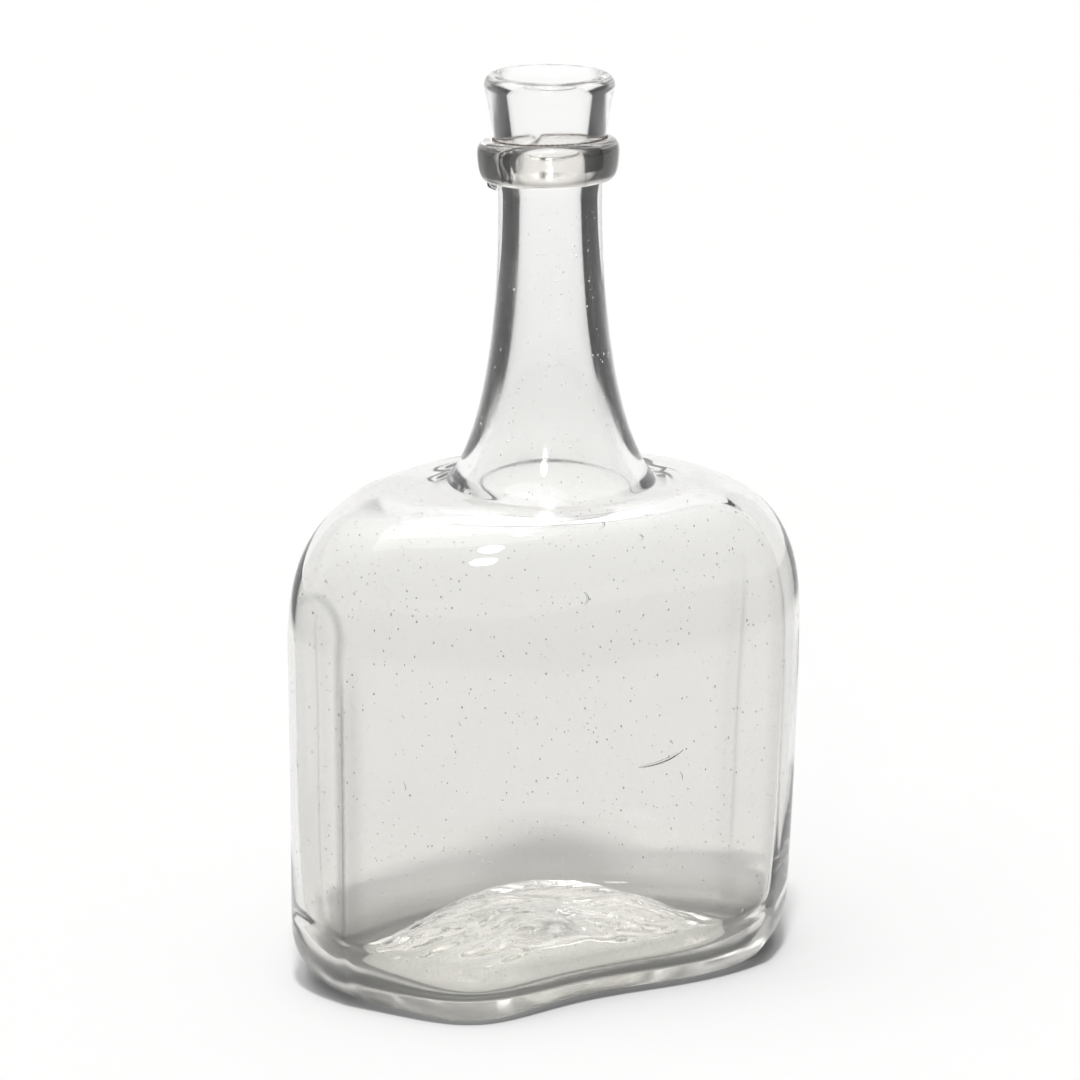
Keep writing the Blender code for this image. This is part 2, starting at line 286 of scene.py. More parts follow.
class Nodes:
    """A short way to write a node tree: makes nodes and joins their sockets."""

    def __init__(self, tree: bpy.types.NodeTree) -> None:
        """Keep the tree that the nodes go into."""
        self.tree = tree

    def add(self, kind: str, /, _out: int | str = 0, **values: object) -> Socket:
        """Add a node and return one of its outputs.

        Args:
            kind: The node's type name.
            _out: The output to return, by number or name.
            **values: Settings of the node, or what goes into its inputs. An input is named by its
                name in lower case with underscores, or as in_0, in_1 and so on by its number.

        Returns:
            The output socket.
        """
        node = self.tree.nodes.new(kind)
        inputs = {}
        for key, value in values.items():
            names = [socket.name.lower().replace(" ", "_") for socket in node.inputs]
            if key.startswith("in_"):
                inputs[int(key[3:])] = value
            elif key in names:
                inputs[names.index(key)] = value
            else:
                setattr(node, key, value)
        for place, value in inputs.items():
            socket = node.inputs[place]
            if isinstance(value, Socket):
                self.tree.links.new(value, socket)
            else:
                socket.default_value = value
        return node.outputs[_out] if len(node.outputs) else node.inputs[0]

    def math(self, operation: str, *values: object) -> Socket:
        """Add a sum of one to three values and return its result."""
        inputs = {f"in_{place}": value for place, value in enumerate(values)}
        return self.add("ShaderNodeMath", operation=operation, **inputs)

    def times(self, first: object, second: object) -> Socket:
        """Return the product of two values."""
        return self.math("MULTIPLY", first, second)

    def less(self, first: object, second: object) -> Socket:
        """Return the first of two values, less the second."""
        return self.math("SUBTRACT", first, second)

    def place(self) -> Socket:
        """Return where a point lies on the object."""
        return self.add("ShaderNodeTexCoord", "Object")

    def upright(self, vector: Socket) -> Socket:
        """Return a vector's upright part."""
        return self.add("ShaderNodeSeparateXYZ", 2, in_0=vector)

    def span(self, value: Socket, ends: Pair, onto: Pair = (0.0, 1.0), kind: str = "LINEAR") -> Socket:
        """Add a map from one span of numbers onto another, held at its ends.

        Args:
            value: What is mapped.
            ends: The low and the high end of its span.
            onto: What these ends become.
            kind: How it runs between them, by Blender's name.

        Returns:
            The mapped value.
        """
        spans = {"from_min": ends[0], "from_max": ends[1], "to_min": onto[0], "to_max": onto[1]}
        return self.add("ShaderNodeMapRange", interpolation_type=kind, value=value, **spans)

    def ramp(self, share: Socket, stops: Stops) -> Socket:
        """Add a colour ramp.

        Args:
            share: Where on the ramp the colour is taken.
            stops: The ramp's stops, each with its place and its colour.

        Returns:
            The colour.
        """
        node = self.tree.nodes.new("ShaderNodeValToRGB")
        self.tree.links.new(share, node.inputs[0])
        bar = node.color_ramp.elements
        while len(bar) < len(stops):
            bar.new(1.0)
        for stop, (place, colour) in zip(bar, stops):
            stop.position, stop.color = place, (*colour, 1.0)
        return node.outputs[0]

    def grain(self, place: Socket, scale: float, detail: float, stretch: Triple = (1, 1, 1)) -> Socket:
        """Add soft noise over stretched coordinates and return it as a number from 0 to 1."""
        turned = self.add("ShaderNodeMapping", vector=place, scale=stretch)
        return self.add("ShaderNodeTexNoise", vector=turned, scale=scale, detail=detail)

    def carried(self, name: str) -> Socket:
        """Return a number that the points of a mesh carry under a name."""
        return self.add("GeometryNodeInputNamedAttribute", data_type="FLOAT", in_0=name)

    def finish(self, shape: Socket, material: Material, smooth: bool) -> Socket:
        """Make a shape of Geometry Nodes real and give it its finish.

        Args:
            shape: The shape.
            material: Its finish.
            smooth: Whether it is shaded smooth.

        Returns:
            The finished shape.
        """
        whole = self.add("GeometryNodeRealizeInstances", geometry=shape)
        if smooth:
            whole = self.add("GeometryNodeSetShadeSmooth", in_0=whole, in_2=True)
        return self.add("GeometryNodeSetMaterial", geometry=whole, material=material)


def new_material(name: str) -> tuple[Material, Nodes]:
    """Return an empty material and its nodes.

    Args:
        name: The material's name.

    Returns:
        The material and a writer of its nodes.
    """
    material = bpy.data.materials.new(name)
    material.use_nodes = True
    material.node_tree.nodes.clear()
    return material, Nodes(material.node_tree)


def new_tree(name: str, sizes: dict[str, float]) -> tuple[Nodes, bpy.types.NodeOutputs]:
    """Return an empty tree of Geometry Nodes with a named input for each size.

    Args:
        name: The tree's name.
        sizes: The names of the inputs and their values, whose types the inputs take.

    Returns:
        A writer of its nodes, and the sockets of its inputs.
    """
    tree = bpy.data.node_groups.new(name, "GeometryNodeTree")
    tree.interface.new_socket("Geometry", in_out="INPUT", socket_type="NodeSocketGeometry")
    for size, value in sizes.items():
        kind = "NodeSocketInt" if isinstance(value, int) else "NodeSocketFloat"
        tree.interface.new_socket(size, in_out="INPUT", socket_type=kind)
    tree.interface.new_socket("Geometry", in_out="OUTPUT", socket_type="NodeSocketGeometry")
    return Nodes(tree), tree.nodes.new("NodeGroupInput").outputs


def named_inputs(piece: object) -> dict[str, float]:
    """Return a piece's sizes under the names of its tree's inputs."""
    return {name.title(): value for name, value in asdict(piece).items()}


@dataclass(frozen=True)
class PanelShadeLine:
    """A painted dark line round the arched flat of the left side, standing in for the shade at the flat's
    edge; the glass is also dulled along it.
    """

    middle: float = -0.0102
    half_width: float = 0.0076
    spring: float = 0.101
    rise: float = 0.010
    line: float = 0.0017
    foot: float = 0.016
    side: float = 0.046
    strength: float = 0.6
    back_share: float = 0.25

    def worn(self, nodes: Nodes, place: Socket) -> Socket:
        """Return how strong the line is at a point, from nothing to one.

        Args:
            nodes: The material's nodes.
            place: Where the point lies on the object.

        Returns:
            The socket of the strength.
        """
        height = nodes.upright(place)
        across, depth = height.node.outputs[0], height.node.outputs[1]
        above = nodes.math("MAXIMUM", nodes.less(height, self.spring), 0.0)
        above = nodes.times(above, self.half_width / self.rise)
        spot = nodes.add("ShaderNodeCombineXYZ", in_0=nodes.less(depth, self.middle), in_1=above)
        reach = nodes.add("ShaderNodeVectorMath", "Value", operation="LENGTH", in_0=spot)
        away = nodes.math("ABSOLUTE", nodes.less(reach, self.half_width))
        near = nodes.span(away, (0.0, self.line), (self.strength, 0.0), "SMOOTHSTEP")
        beside = nodes.math("LESS_THAN", across, -self.side)
        risen = nodes.span(height, (self.foot, 2 * self.foot), kind="SMOOTHSTEP")
        front, back = self.middle - self.half_width, self.middle + self.half_width
        near = nodes.times(near, nodes.span(depth, (front, back), (1.0, self.back_share)))
        return nodes.times(near, nodes.times(beside, risen))


@dataclass(frozen=True)
class Cloud:
    """Soft noise: its scale, how fine and how rough it is, and how far it is bent."""

    scale: float
    detail: float
    roughness: float
    distortion: float

    def over(self, nodes: Nodes, place: Socket) -> Socket:
        """Return the noise at a place, as a number from 0 to 1."""
        return nodes.add("ShaderNodeTexNoise", vector=place, **asdict(self))


@dataclass(frozen=True)
class PaintedHighlights:
    """Painted highlights inside the base: pale crooked lines and patches of a lit diffuse layer over the
    glass.
    """

    strength: float
    colour: Colour = (0.985, 0.97, 0.92, 1.0)
    stretch: Triple = (0.45, 1.0, 1.0)
    lines: Cloud = Cloud(scale=150.0, detail=4.0, roughness=0.6, distortion=1.6)
    line_width: float = 0.035
    line_gain: Pair = (1.2, 0.35)
    patches: Cloud = Cloud(scale=70.0, detail=5.0, roughness=0.65, distortion=0.8)
    patch_span: Pair = (0.42, 0.68)
    patch_shares: Pair = (0.06, 0.62)
    passing: float = 0.4

    def over(self, nodes: Nodes, place: Socket, glass: Socket) -> Socket:
        """Return glass with the painted highlights over it.

        Args:
            nodes: The material's nodes.
            place: Where a point lies on the object.
            glass: The clear glass's shader.

        Returns:
            The shader of both.
        """
        mapped = nodes.add("ShaderNodeMapping", vector=place, scale=self.stretch)
        lines = nodes.math("ABSOLUTE", nodes.less(self.lines.over(nodes, mapped), 0.5))
        lines = nodes.span(lines, (0.0, self.line_width), (1.0, 0.0))
        patches = nodes.span(self.patches.over(nodes, mapped), self.patch_span, self.patch_shares)
        lines = nodes.times(lines, nodes.math("MULTIPLY_ADD", patches, *self.line_gain))
        highlight_mask = nodes.add("ShaderNodeAttribute", "Fac", attribute_name="haze")
        share = nodes.times(nodes.times(nodes.math("MAXIMUM", lines, patches), highlight_mask), self.strength)
        front = nodes.add("ShaderNodeBsdfDiffuse", color=self.colour)
        through = nodes.add("ShaderNodeBsdfTranslucent", color=self.colour)
        bloom = nodes.add("ShaderNodeMixShader", in_0=self.passing, in_1=front, in_2=through)
        return nodes.add("ShaderNodeMixShader", in_0=share, in_1=glass, in_2=bloom)


@dataclass(frozen=True)
class GlassFinish:
    """Fire-polished glass: its tint, with painted shade on it, its polish, its streaks and its waves."""

    name: str
    film: Stops = CLEAN
    index: float = 1.5
    # Roughness: smudges all over, and streaks and dulling that may start above a height.
    polish: float = 0.0
    dullness: float = 0.03
    smudge_scale: float = 30.0
    smudge_detail: float = 4.0
    smudge_span: Pair = (0.5, 0.8)
    streaks: float = 0.0
    streak_scale: float = 260.0
    streak_detail: float = 2.0
    streak_stretch: Triple = (1.0, 1.0, 0.06)
    streak_span: Pair = (0.45, 0.75)
    dull_above: float = 0.0
    dull_run: float = 0.03
    # Painted shade: the tint is darkened by how edge-on a face is seen, for the dark rims of the glass.
    edge_loss: float = 0.25
    edge_power: float = 3.0
    edge_span: Pair = (0.0, 1.0)
    sides_only: bool = False
    side_span: Pair = (0.15, 0.6)
    # Painted shade on places of rubbing: how much they darken, as do the painted ridge and panel lines, and
    # how much they dull.
    wear_loss: float = 0.0
    wear_dulling: float = 0.0
    panel: PanelShadeLine | None = None
    # The skin's small waves.
    wave_depth: float = 0.00012
    wave_scale: float = 45.0
    wave_detail: float = 1.5
    wave_stretch: Triple = (1.0, 1.0, 0.45)
    # What a shadow keeps of the light.
    shadow: float = 0.99
    glance_loss: float = 0.82
    foot_shade: float = 1.3
    # Pale lines and patches laid over the glass as painted highlights.
    bloom: PaintedHighlights | None = None

    def roughness(self, nodes: Nodes, place: Socket, height: Socket) -> Socket:
        """Return how rough the glass is before wear: its smudges and its drawn streaks.

        Args:
            nodes: The material's nodes.
            place: Where a point lies on the object.
            height: How high it lies.

        Returns:
            The socket of the roughness.
        """
        smudge = nodes.grain(place, self.smudge_scale, self.smudge_detail)
        rough = nodes.span(smudge, self.smudge_span, (self.polish, self.dullness))
        if self.streaks:
            drawn = nodes.grain(place, self.streak_scale, self.streak_detail, self.streak_stretch)
            rough = nodes.math("ADD", rough, nodes.span(drawn, self.streak_span, (0.0, self.streaks)))
        if self.dull_above:
            ends = (self.dull_above, self.dull_above + self.dull_run)
            rough = nodes.times(rough, nodes.span(height, ends))
        return rough

    def edge(self, nodes: Nodes) -> Socket:
        """Return how edge-on a face is seen, from nothing to one.

        Args:
            nodes: The material's nodes.

        Returns:
            The socket of the share, which is nothing on level faces where only the sides count.
        """
        edge = nodes.add("ShaderNodeLayerWeight", "Facing", blend=0.5)
        edge = nodes.math("POWER", nodes.span(edge, self.edge_span), self.edge_power)
        if self.sides_only:
            normal = nodes.add("ShaderNodeNewGeometry", "Normal")
            level = nodes.math("ABSOLUTE", nodes.upright(normal))
            edge = nodes.times(edge, nodes.span(nodes.less(1.0, level), self.side_span))
        return edge

    def shade(self, nodes: Nodes, glass: Socket, edge: Socket, worn: Socket) -> Socket:
        """Return the glass with a plain clear shade in its place for shadows and scattered light.

        Args:
            nodes: The material's nodes.
            glass: The glass's shader.
            edge: How edge-on a face is seen.
            worn: How much rubbing and painted shade it carries.

        Returns:
            The shader of both.
        """
        passed = nodes.math("MULTIPLY_ADD", edge, -self.glance_loss, self.shadow)
        passed = nodes.times(passed, nodes.less(1.0, nodes.times(worn, self.foot_shade)))
        clear = nodes.add("ShaderNodeBsdfTransparent", color=nodes.math("MAXIMUM", passed, 0.0))
        ray = nodes.add("ShaderNodeLightPath", "Is Shadow Ray")
        ray = nodes.math("MAXIMUM", ray, ray.node.outputs["Is Diffuse Ray"])
        return nodes.add("ShaderNodeMixShader", in_0=ray, in_1=glass, in_2=clear)

    def make(self) -> Material:
        """Return the material.

        Returns:
            The glass, its tint darkened as painted shade where it is seen edge-on, where it has rubbing and
            along the ridge and panel lines.
        """
        material, nodes = new_material(self.name)
        place = nodes.place()
        height = nodes.upright(place)
        swell = nodes.grain(place, self.wave_scale, self.wave_detail, self.wave_stretch)
        bump = nodes.add("ShaderNodeBump", height=swell, strength=1.0, distance=self.wave_depth)
        edge = self.edge(nodes)
        worn = nodes.add("ShaderNodeAttribute", "Fac", attribute_name="wear")
        if self.panel:
            worn = nodes.math("MAXIMUM", worn, self.panel.worn(nodes, place))
        # Painted shade: how far the tint is darkened, at edges, on places of rubbing and along the painted
        # lines.
        loss = nodes.math("MAXIMUM", nodes.times(edge, self.edge_loss), nodes.times(worn, self.wear_loss))
        film = nodes.ramp(nodes.times(height, 1 / BOTTLE_HEIGHT), self.film)
        film = nodes.add("ShaderNodeVectorMath", operation="SCALE", in_0=film, scale=nodes.less(1.0, loss))
        rough = self.roughness(nodes, place, height)
        if self.wear_dulling:
            rough = nodes.math("MULTIPLY_ADD", worn, self.wear_dulling, rough)
        look = {"base_color": film, "roughness": rough, "ior": self.index, "normal": bump}
        glass = nodes.add("ShaderNodeBsdfPrincipled", transmission_weight=1.0, **look)
        if self.bloom:
            glass = self.bloom.over(nodes, place, glass)
        nodes.add("ShaderNodeOutputMaterial", surface=self.shade(nodes, glass, edge, worn))
        return material


@dataclass(frozen=True)
class DirtFinish:
    """Old brown dirt that has dried in a seam."""

    name: str = "seam_dirt"
    dark: Triple = (0.10, 0.07, 0.05)
    pale: Triple = (0.35, 0.29, 0.24)
    ends: Pair = (0.35, 0.65)
    speck_scale: float = 900.0
    speck_detail: float = 3.0
    speck_depth: float = 0.0002
    speck_strength: float = 0.6
    roughness: float = 0.9

    def make(self) -> Material:
        """Return the material.

        Returns:
            The dirt, whose specks are dark and pale.
        """
        material, nodes = new_material(self.name)
        place = nodes.place()
        speck = nodes.grain(place, self.speck_scale, self.speck_detail)
        colour = nodes.ramp(speck, ((self.ends[0], self.dark), (self.ends[1], self.pale)))
        bump = {"height": speck, "strength": self.speck_strength, "distance": self.speck_depth}
        look = {"roughness": self.roughness, "normal": nodes.add("ShaderNodeBump", **bump)}
        skin = nodes.add("ShaderNodeBsdfPrincipled", base_color=colour, **look)
        nodes.add("ShaderNodeOutputMaterial", surface=skin)
        return material


@dataclass(frozen=True)
class FloorFinish:
    """The pale floor, painted dark for light that the glass has mirrored on its own inside: a painted dark
    reflection.
    """

    name: str = "pale_floor"
    pale: Colour = (0.90, 0.90, 0.895, 1.0)
    # A painted reflection: the dark colour that light mirrored inside the glass finds on the floor far from
    # the bottle.
    mirrored: Colour = (0.04, 0.04, 0.04, 1.0)
    distances: Pair = (0.35, 0.47)
    crossings: float = 4.0
    slack: float = 1.1

    def make(self) -> Material:
        """Return the material.

        Returns:
            The floor. Light that crossed the whole body is left out of the darker part.
        """
        material, nodes = new_material(self.name)
        path = nodes.add("ShaderNodeLightPath", "Glossy Depth")
        through = path.node.outputs["Transmission Depth"]
        both = (nodes.math("GREATER_THAN", depth, 0.5) for depth in (path, through))
        turned = nodes.times(*both)
        across_body = nodes.math("COMPARE", through, self.crossings, self.slack)
        turned = nodes.times(turned, nodes.less(1.0, across_body))
        away = nodes.add("ShaderNodeVectorMath", "Value", operation="LENGTH", in_0=nodes.place())
        turned = nodes.times(turned, nodes.span(away, self.distances, kind="SMOOTHSTEP"))
        colours = {"in_6": self.pale, "in_7": self.mirrored}
        colour = nodes.add("ShaderNodeMix", 2, data_type="RGBA", in_0=turned, **colours)
        nodes.add("ShaderNodeOutputMaterial", surface=nodes.add("ShaderNodeBsdfDiffuse", color=colour))
        return material


@dataclass
class BodyPlan:
    """The plan of the body: four bowed panels that meet in upright ridges, and the drawn-in foot."""

    side_crown: float = 0.0694
    ridge_reach: float = 0.0595
    ridge_depth: float = 0.0185
    front_crown: float = 0.0395
    back_crown: float = 0.0399
    foot_side_crown: float = 0.0682
    foot_ridge_reach: float = 0.0585
    foot_front_crown: float = 0.0265
    foot_back_crown: float = 0.0370
    lobe_reach: float = 0.0135
    lobe_offset: float = 0.0285
    lobe_spread: float = 0.0245
    foot_drift: float = 0.0013
    foot_fade_height: float = 0.0850
    panel_power: float = 1.2
    foot_panel_power: float = 4.0
    foot_fade_power: float = 1.5
    sideways_power: float = 2.6
    front_steps: int = 48
    side_steps: int = 24
    evenness: float = 0.25

    def __post_init__(self) -> None:
        """Lay out the columns round the plan."""
        counts = (self.front_steps, self.side_steps, self.front_steps, self.side_steps)
        self.panels = np.concatenate([np.full(count, panel.value) for panel, count in zip(Column, counts)])
        even = np.concatenate([2 * np.arange(count) / count - 1 for count in counts])
        self.shares = mix(np.sin(even * pi / 2), even, self.evenness)
        self.count = len(self.shares)
        self.bow = (1 - self.shares ** 2) ** self.panel_power

    def panel_plan(
        self, crown: float, reach: float, front_bow: np.ndarray, back_bow: np.ndarray
    ) -> np.ndarray:
        """Return a plan's points.

        Args:
            crown: How far the sides reach.
            reach: How far out the ridges stand.
            front_bow: How far each column of the front stands out from its ridges.
            back_bow: The same for the back.

        Returns:
            An array of points on the floor's plane.
        """
        side = reach + (crown - reach) * self.bow
        chosen = [self.panels == panel.value for panel in (Column.FRONT, Column.BACK, Column.RIGHT)]
        x = np.select(chosen, [reach * self.shares, -reach * self.shares, side], -side)
        sloped = self.ridge_depth * self.shares
        y = np.select(chosen, [-self.ridge_depth - front_bow, self.ridge_depth + back_bow, sloped], -sloped)
        return np.stack([x, y, np.zeros(self.count)], axis=1)

    def full(self) -> np.ndarray:
        """Return the plan of the body at its fullest.

        Returns:
            Its points.
        """
        front_bow = (self.front_crown - self.ridge_depth) * self.bow
        back_bow = (self.back_crown - self.ridge_depth) * self.bow
        return self.panel_plan(self.side_crown, self.ridge_reach, front_bow, back_bow)

    def foot(self) -> np.ndarray:
        """Return the plan of the foot, with its lobe left of the middle of the front.

        Returns:
            Its points.
        """
        from_lobe = (self.foot_ridge_reach * self.shares + self.lobe_offset) / self.lobe_spread
        drawn = self.foot_front_crown - self.ridge_depth + self.lobe_reach * np.exp(-from_lobe ** 2)
        front_bow = drawn * (1 - self.shares ** self.foot_panel_power)
        back_bow = (self.foot_back_crown - self.ridge_depth) * self.bow
        plan = self.panel_plan(self.foot_side_crown, self.foot_ridge_reach, front_bow, back_bow)
        return plan - np.array([self.foot_drift, 0, 0])

    def wall(self, heights: np.ndarray) -> np.ndarray:
        """Return one row of the wall.

        Args:
            heights: The height of each of its columns, or one for all of them.

        Returns:
            The row's points.
        """
        share = np.clip(1 - heights / self.foot_fade_height, 0, None) ** self.foot_fade_power
        row = mix(self.full(), self.foot(), share[:, None])
        row[:, 2] = heights
        return row

    def sideways(self, points: np.ndarray) -> np.ndarray:
        """Return how far points lie towards the sides, from nothing in the middle to one at a crown."""
        return np.clip(np.abs(points[:, 0]) / self.side_crown, 0, 1) ** self.sideways_power

    def inset(self, points: np.ndarray, front_run: float, side_run: float) -> np.ndarray:
        """Return points moved in.

        Args:
            points: One row of points.
            front_run: How far those of the front and the back move.
            side_run: How far those of the sides move.

        Returns:
            The moved points.
        """
        inwards = np.clip(points[:, 1] / self.ridge_depth, -1, 1) * front_run
        across = np.copysign(side_run * self.sideways(points), points[:, 0])
        return points - np.stack([across, inwards, np.zeros(self.count)], axis=1)

    def circle(self, radius: float, height: float, middle: Pair) -> np.ndarray:
        """Return a level circle whose points keep the columns of the plan.

        Args:
            radius: Its radius.
            height: Its height.
            middle: Its middle.

        Returns:
            Its points.
        """
        angles = -pi / 2 - pi * self.front_steps / self.count + tau * np.arange(self.count) / self.count
        x = middle[0] + radius * np.cos(angles)
        y = middle[1] + radius * np.sin(angles)
        return np.stack([x, y, np.full(self.count, height)], axis=1)


@dataclass
class Neck:
    """The neck and mouth: their heights, their radii and the lean of their axis."""

    root_height: float = 0.1352
    root_radius: float = 0.0273
    waist_height: float = 0.2100
    waist_radius: float = 0.0132
    total_height: float = 0.2407
    lip_radius: float = 0.0165
    lip_round: float = 0.0029
    lean: float = 0.0011
    mouth_shift: float = 0.0001
    rise_power: float = 1.3
    draw_power: float = 2.2
    flare_power: float = 1.8

    def axis(self, height: float) -> float:
        """Return how far the axis stands to the right of the body's middle at a height."""
        share = (self.total_height - height) / (self.total_height - self.root_height)
        return self.lean * share - self.mouth_shift

    def radius(self, height: float) -> float:
        """Return the outer radius.

        Args:
            height: A height above the root.

        Returns:
            The radius there.
        """
        if height < self.waist_height:
            rise = (height - self.root_height) / (self.waist_height - self.root_height)
            drawn = max(0.0, 1 - rise ** (1 / self.rise_power)) ** self.draw_power
            return mix(self.waist_radius, self.root_radius, drawn)
        rise = (height - self.waist_height) / (self.total_height - self.lip_round - self.waist_height)
        return mix(self.waist_radius, self.lip_radius, rise ** self.flare_power)


@dataclass(frozen=True)
class SlowWaves:
    """The slow waves of blown glass, a little longer upwards than across."""

    depth: float
    seed: float
    span: float
    upright: float = 0.7

    def press(self, rows: np.ndarray) -> np.ndarray:
        """Return a skin with the waves pressed into it along its normals."""
        swell = wave(rows, (1 / self.span, 1 / self.span, self.upright / self.span), self.seed)
        return rows + skin_normals(rows) * (self.depth * swell)[:, :, None]


@dataclass(frozen=True)
class Ripples:
    """The ridges and hollows that the tool left in a base."""

    depth: float
    seed: float
    coarse: Triple = (60, 150, 1)
    fine: Triple = (150, 330, 1)
    fine_share: float = 0.45
    fine_seed: float = 5.0
    bend: float = 0.005
    bend_scale: Triple = (60, 60, 1)
    bend_seed: float = 9.0
    bend_sway: Triple = (0.5, 1.0, 0.0)
    edge_share: float = 0.18
    middle_rows: int = 4

    def press(self, rows: list[np.ndarray]) -> np.ndarray:
        """Return a base with the ripples pressed into it.

        Args:
            rows: The base's rows, from its middle outwards.

        Returns:
            The rippled rows.
        """
        skin = np.stack(rows)
        level = skin * np.array([1, 1, 0])
        bend = self.bend * wave(level, self.bend_scale, self.seed + self.bend_seed)
        bent = level + bend[:, :, None] * np.array(self.bend_sway)
        ridge = 1 - 2 * np.abs(wave(bent, self.coarse, self.seed))
        fine = 1 - 2 * np.abs(wave(bent, self.fine, self.seed + self.fine_seed))
        fade = smooth_step((len(rows) - np.arange(len(rows))) / (self.edge_share * len(rows)))
        near_middle = smooth_step(np.arange(len(rows)) / self.middle_rows)
        skin[:, :, 2] += self.depth * (ridge + self.fine_share * fine) * (fade * near_middle)[:, None]
        return skin


@dataclass(frozen=True)
class WearAndShade:
    """The dulled lines of the upright ridges and the heel's rubbing, which also darken the glass as painted
    shade.
    """

    # The ridges: a fine line on each, a broader band beside it, and how far up they run. The lines dull the
    # glass and darken it as painted shade.
    line: float = 0.0008
    band: float = 0.0026
    band_share: float = 0.36
    broad_reach: float = 0.0594
    tops: tuple[float, ...] = (0.108, 0.128, 0.115, 0.115)
    strengths: tuple[float, ...] = (1.0, 0.6, 0.45, 0.5)
    top_fade: float = 0.03
    foot: float = 0.008
    foot_fade: float = 0.02
    # The heel, with rubbing over a few rows under and above it, darkened there as painted shade.
    heel: float = 0.72
    heel_height: float = 0.0030
    heel_reach: float = 0.0042
    side_heel_reach: float = 0.0060
    rows_under: int = 2
    rows_above: int = 9

    def ridges(self, plan: BodyPlan, rows: np.ndarray) -> np.ndarray:
        """Return how dulled the ridges are and how much painted shade darkens them, from nothing to one.

        Args:
            plan: The body's plan.
            rows: The rows of the outside.

        Returns:
            The wear of each point.
        """
        height = rows[:, :, 2]
        worn = np.zeros(height.shape)
        broad = np.isin(plan.panels, (Column.FRONT.value, Column.BACK.value))
        broad = broad & (np.abs(rows[:, :, 0]) < self.broad_reach)
        rise = smooth_step((height - self.foot) / self.foot_fade)
        for start, top, strength in zip(np.flatnonzero(plan.shares <= -1), self.tops, self.strengths):
            away = np.linalg.norm((rows - rows[:, start:start + 1])[:, :, :2], axis=2)
            line = np.exp(-(away / self.line) ** 2)
            band = self.band_share * np.exp(-((away - self.band) / self.band) ** 2) * broad
            fade = smooth_step((top - height) / self.top_fade) * rise
            worn = np.maximum(worn, strength * np.maximum(line, band) * fade)
        return worn

    def rubbed(self, plan: BodyPlan, rows: np.ndarray) -> np.ndarray:
        """Return how much rubbing the heel has at each point of some rows, which is also how much painted
        shade darkens it.
        """
        reach = mix(self.heel_reach, self.side_heel_reach, plan.sideways(plan.foot()))
        return self.heel * np.exp(-((rows[:, :, 2] - self.heel_height) / reach) ** 2)


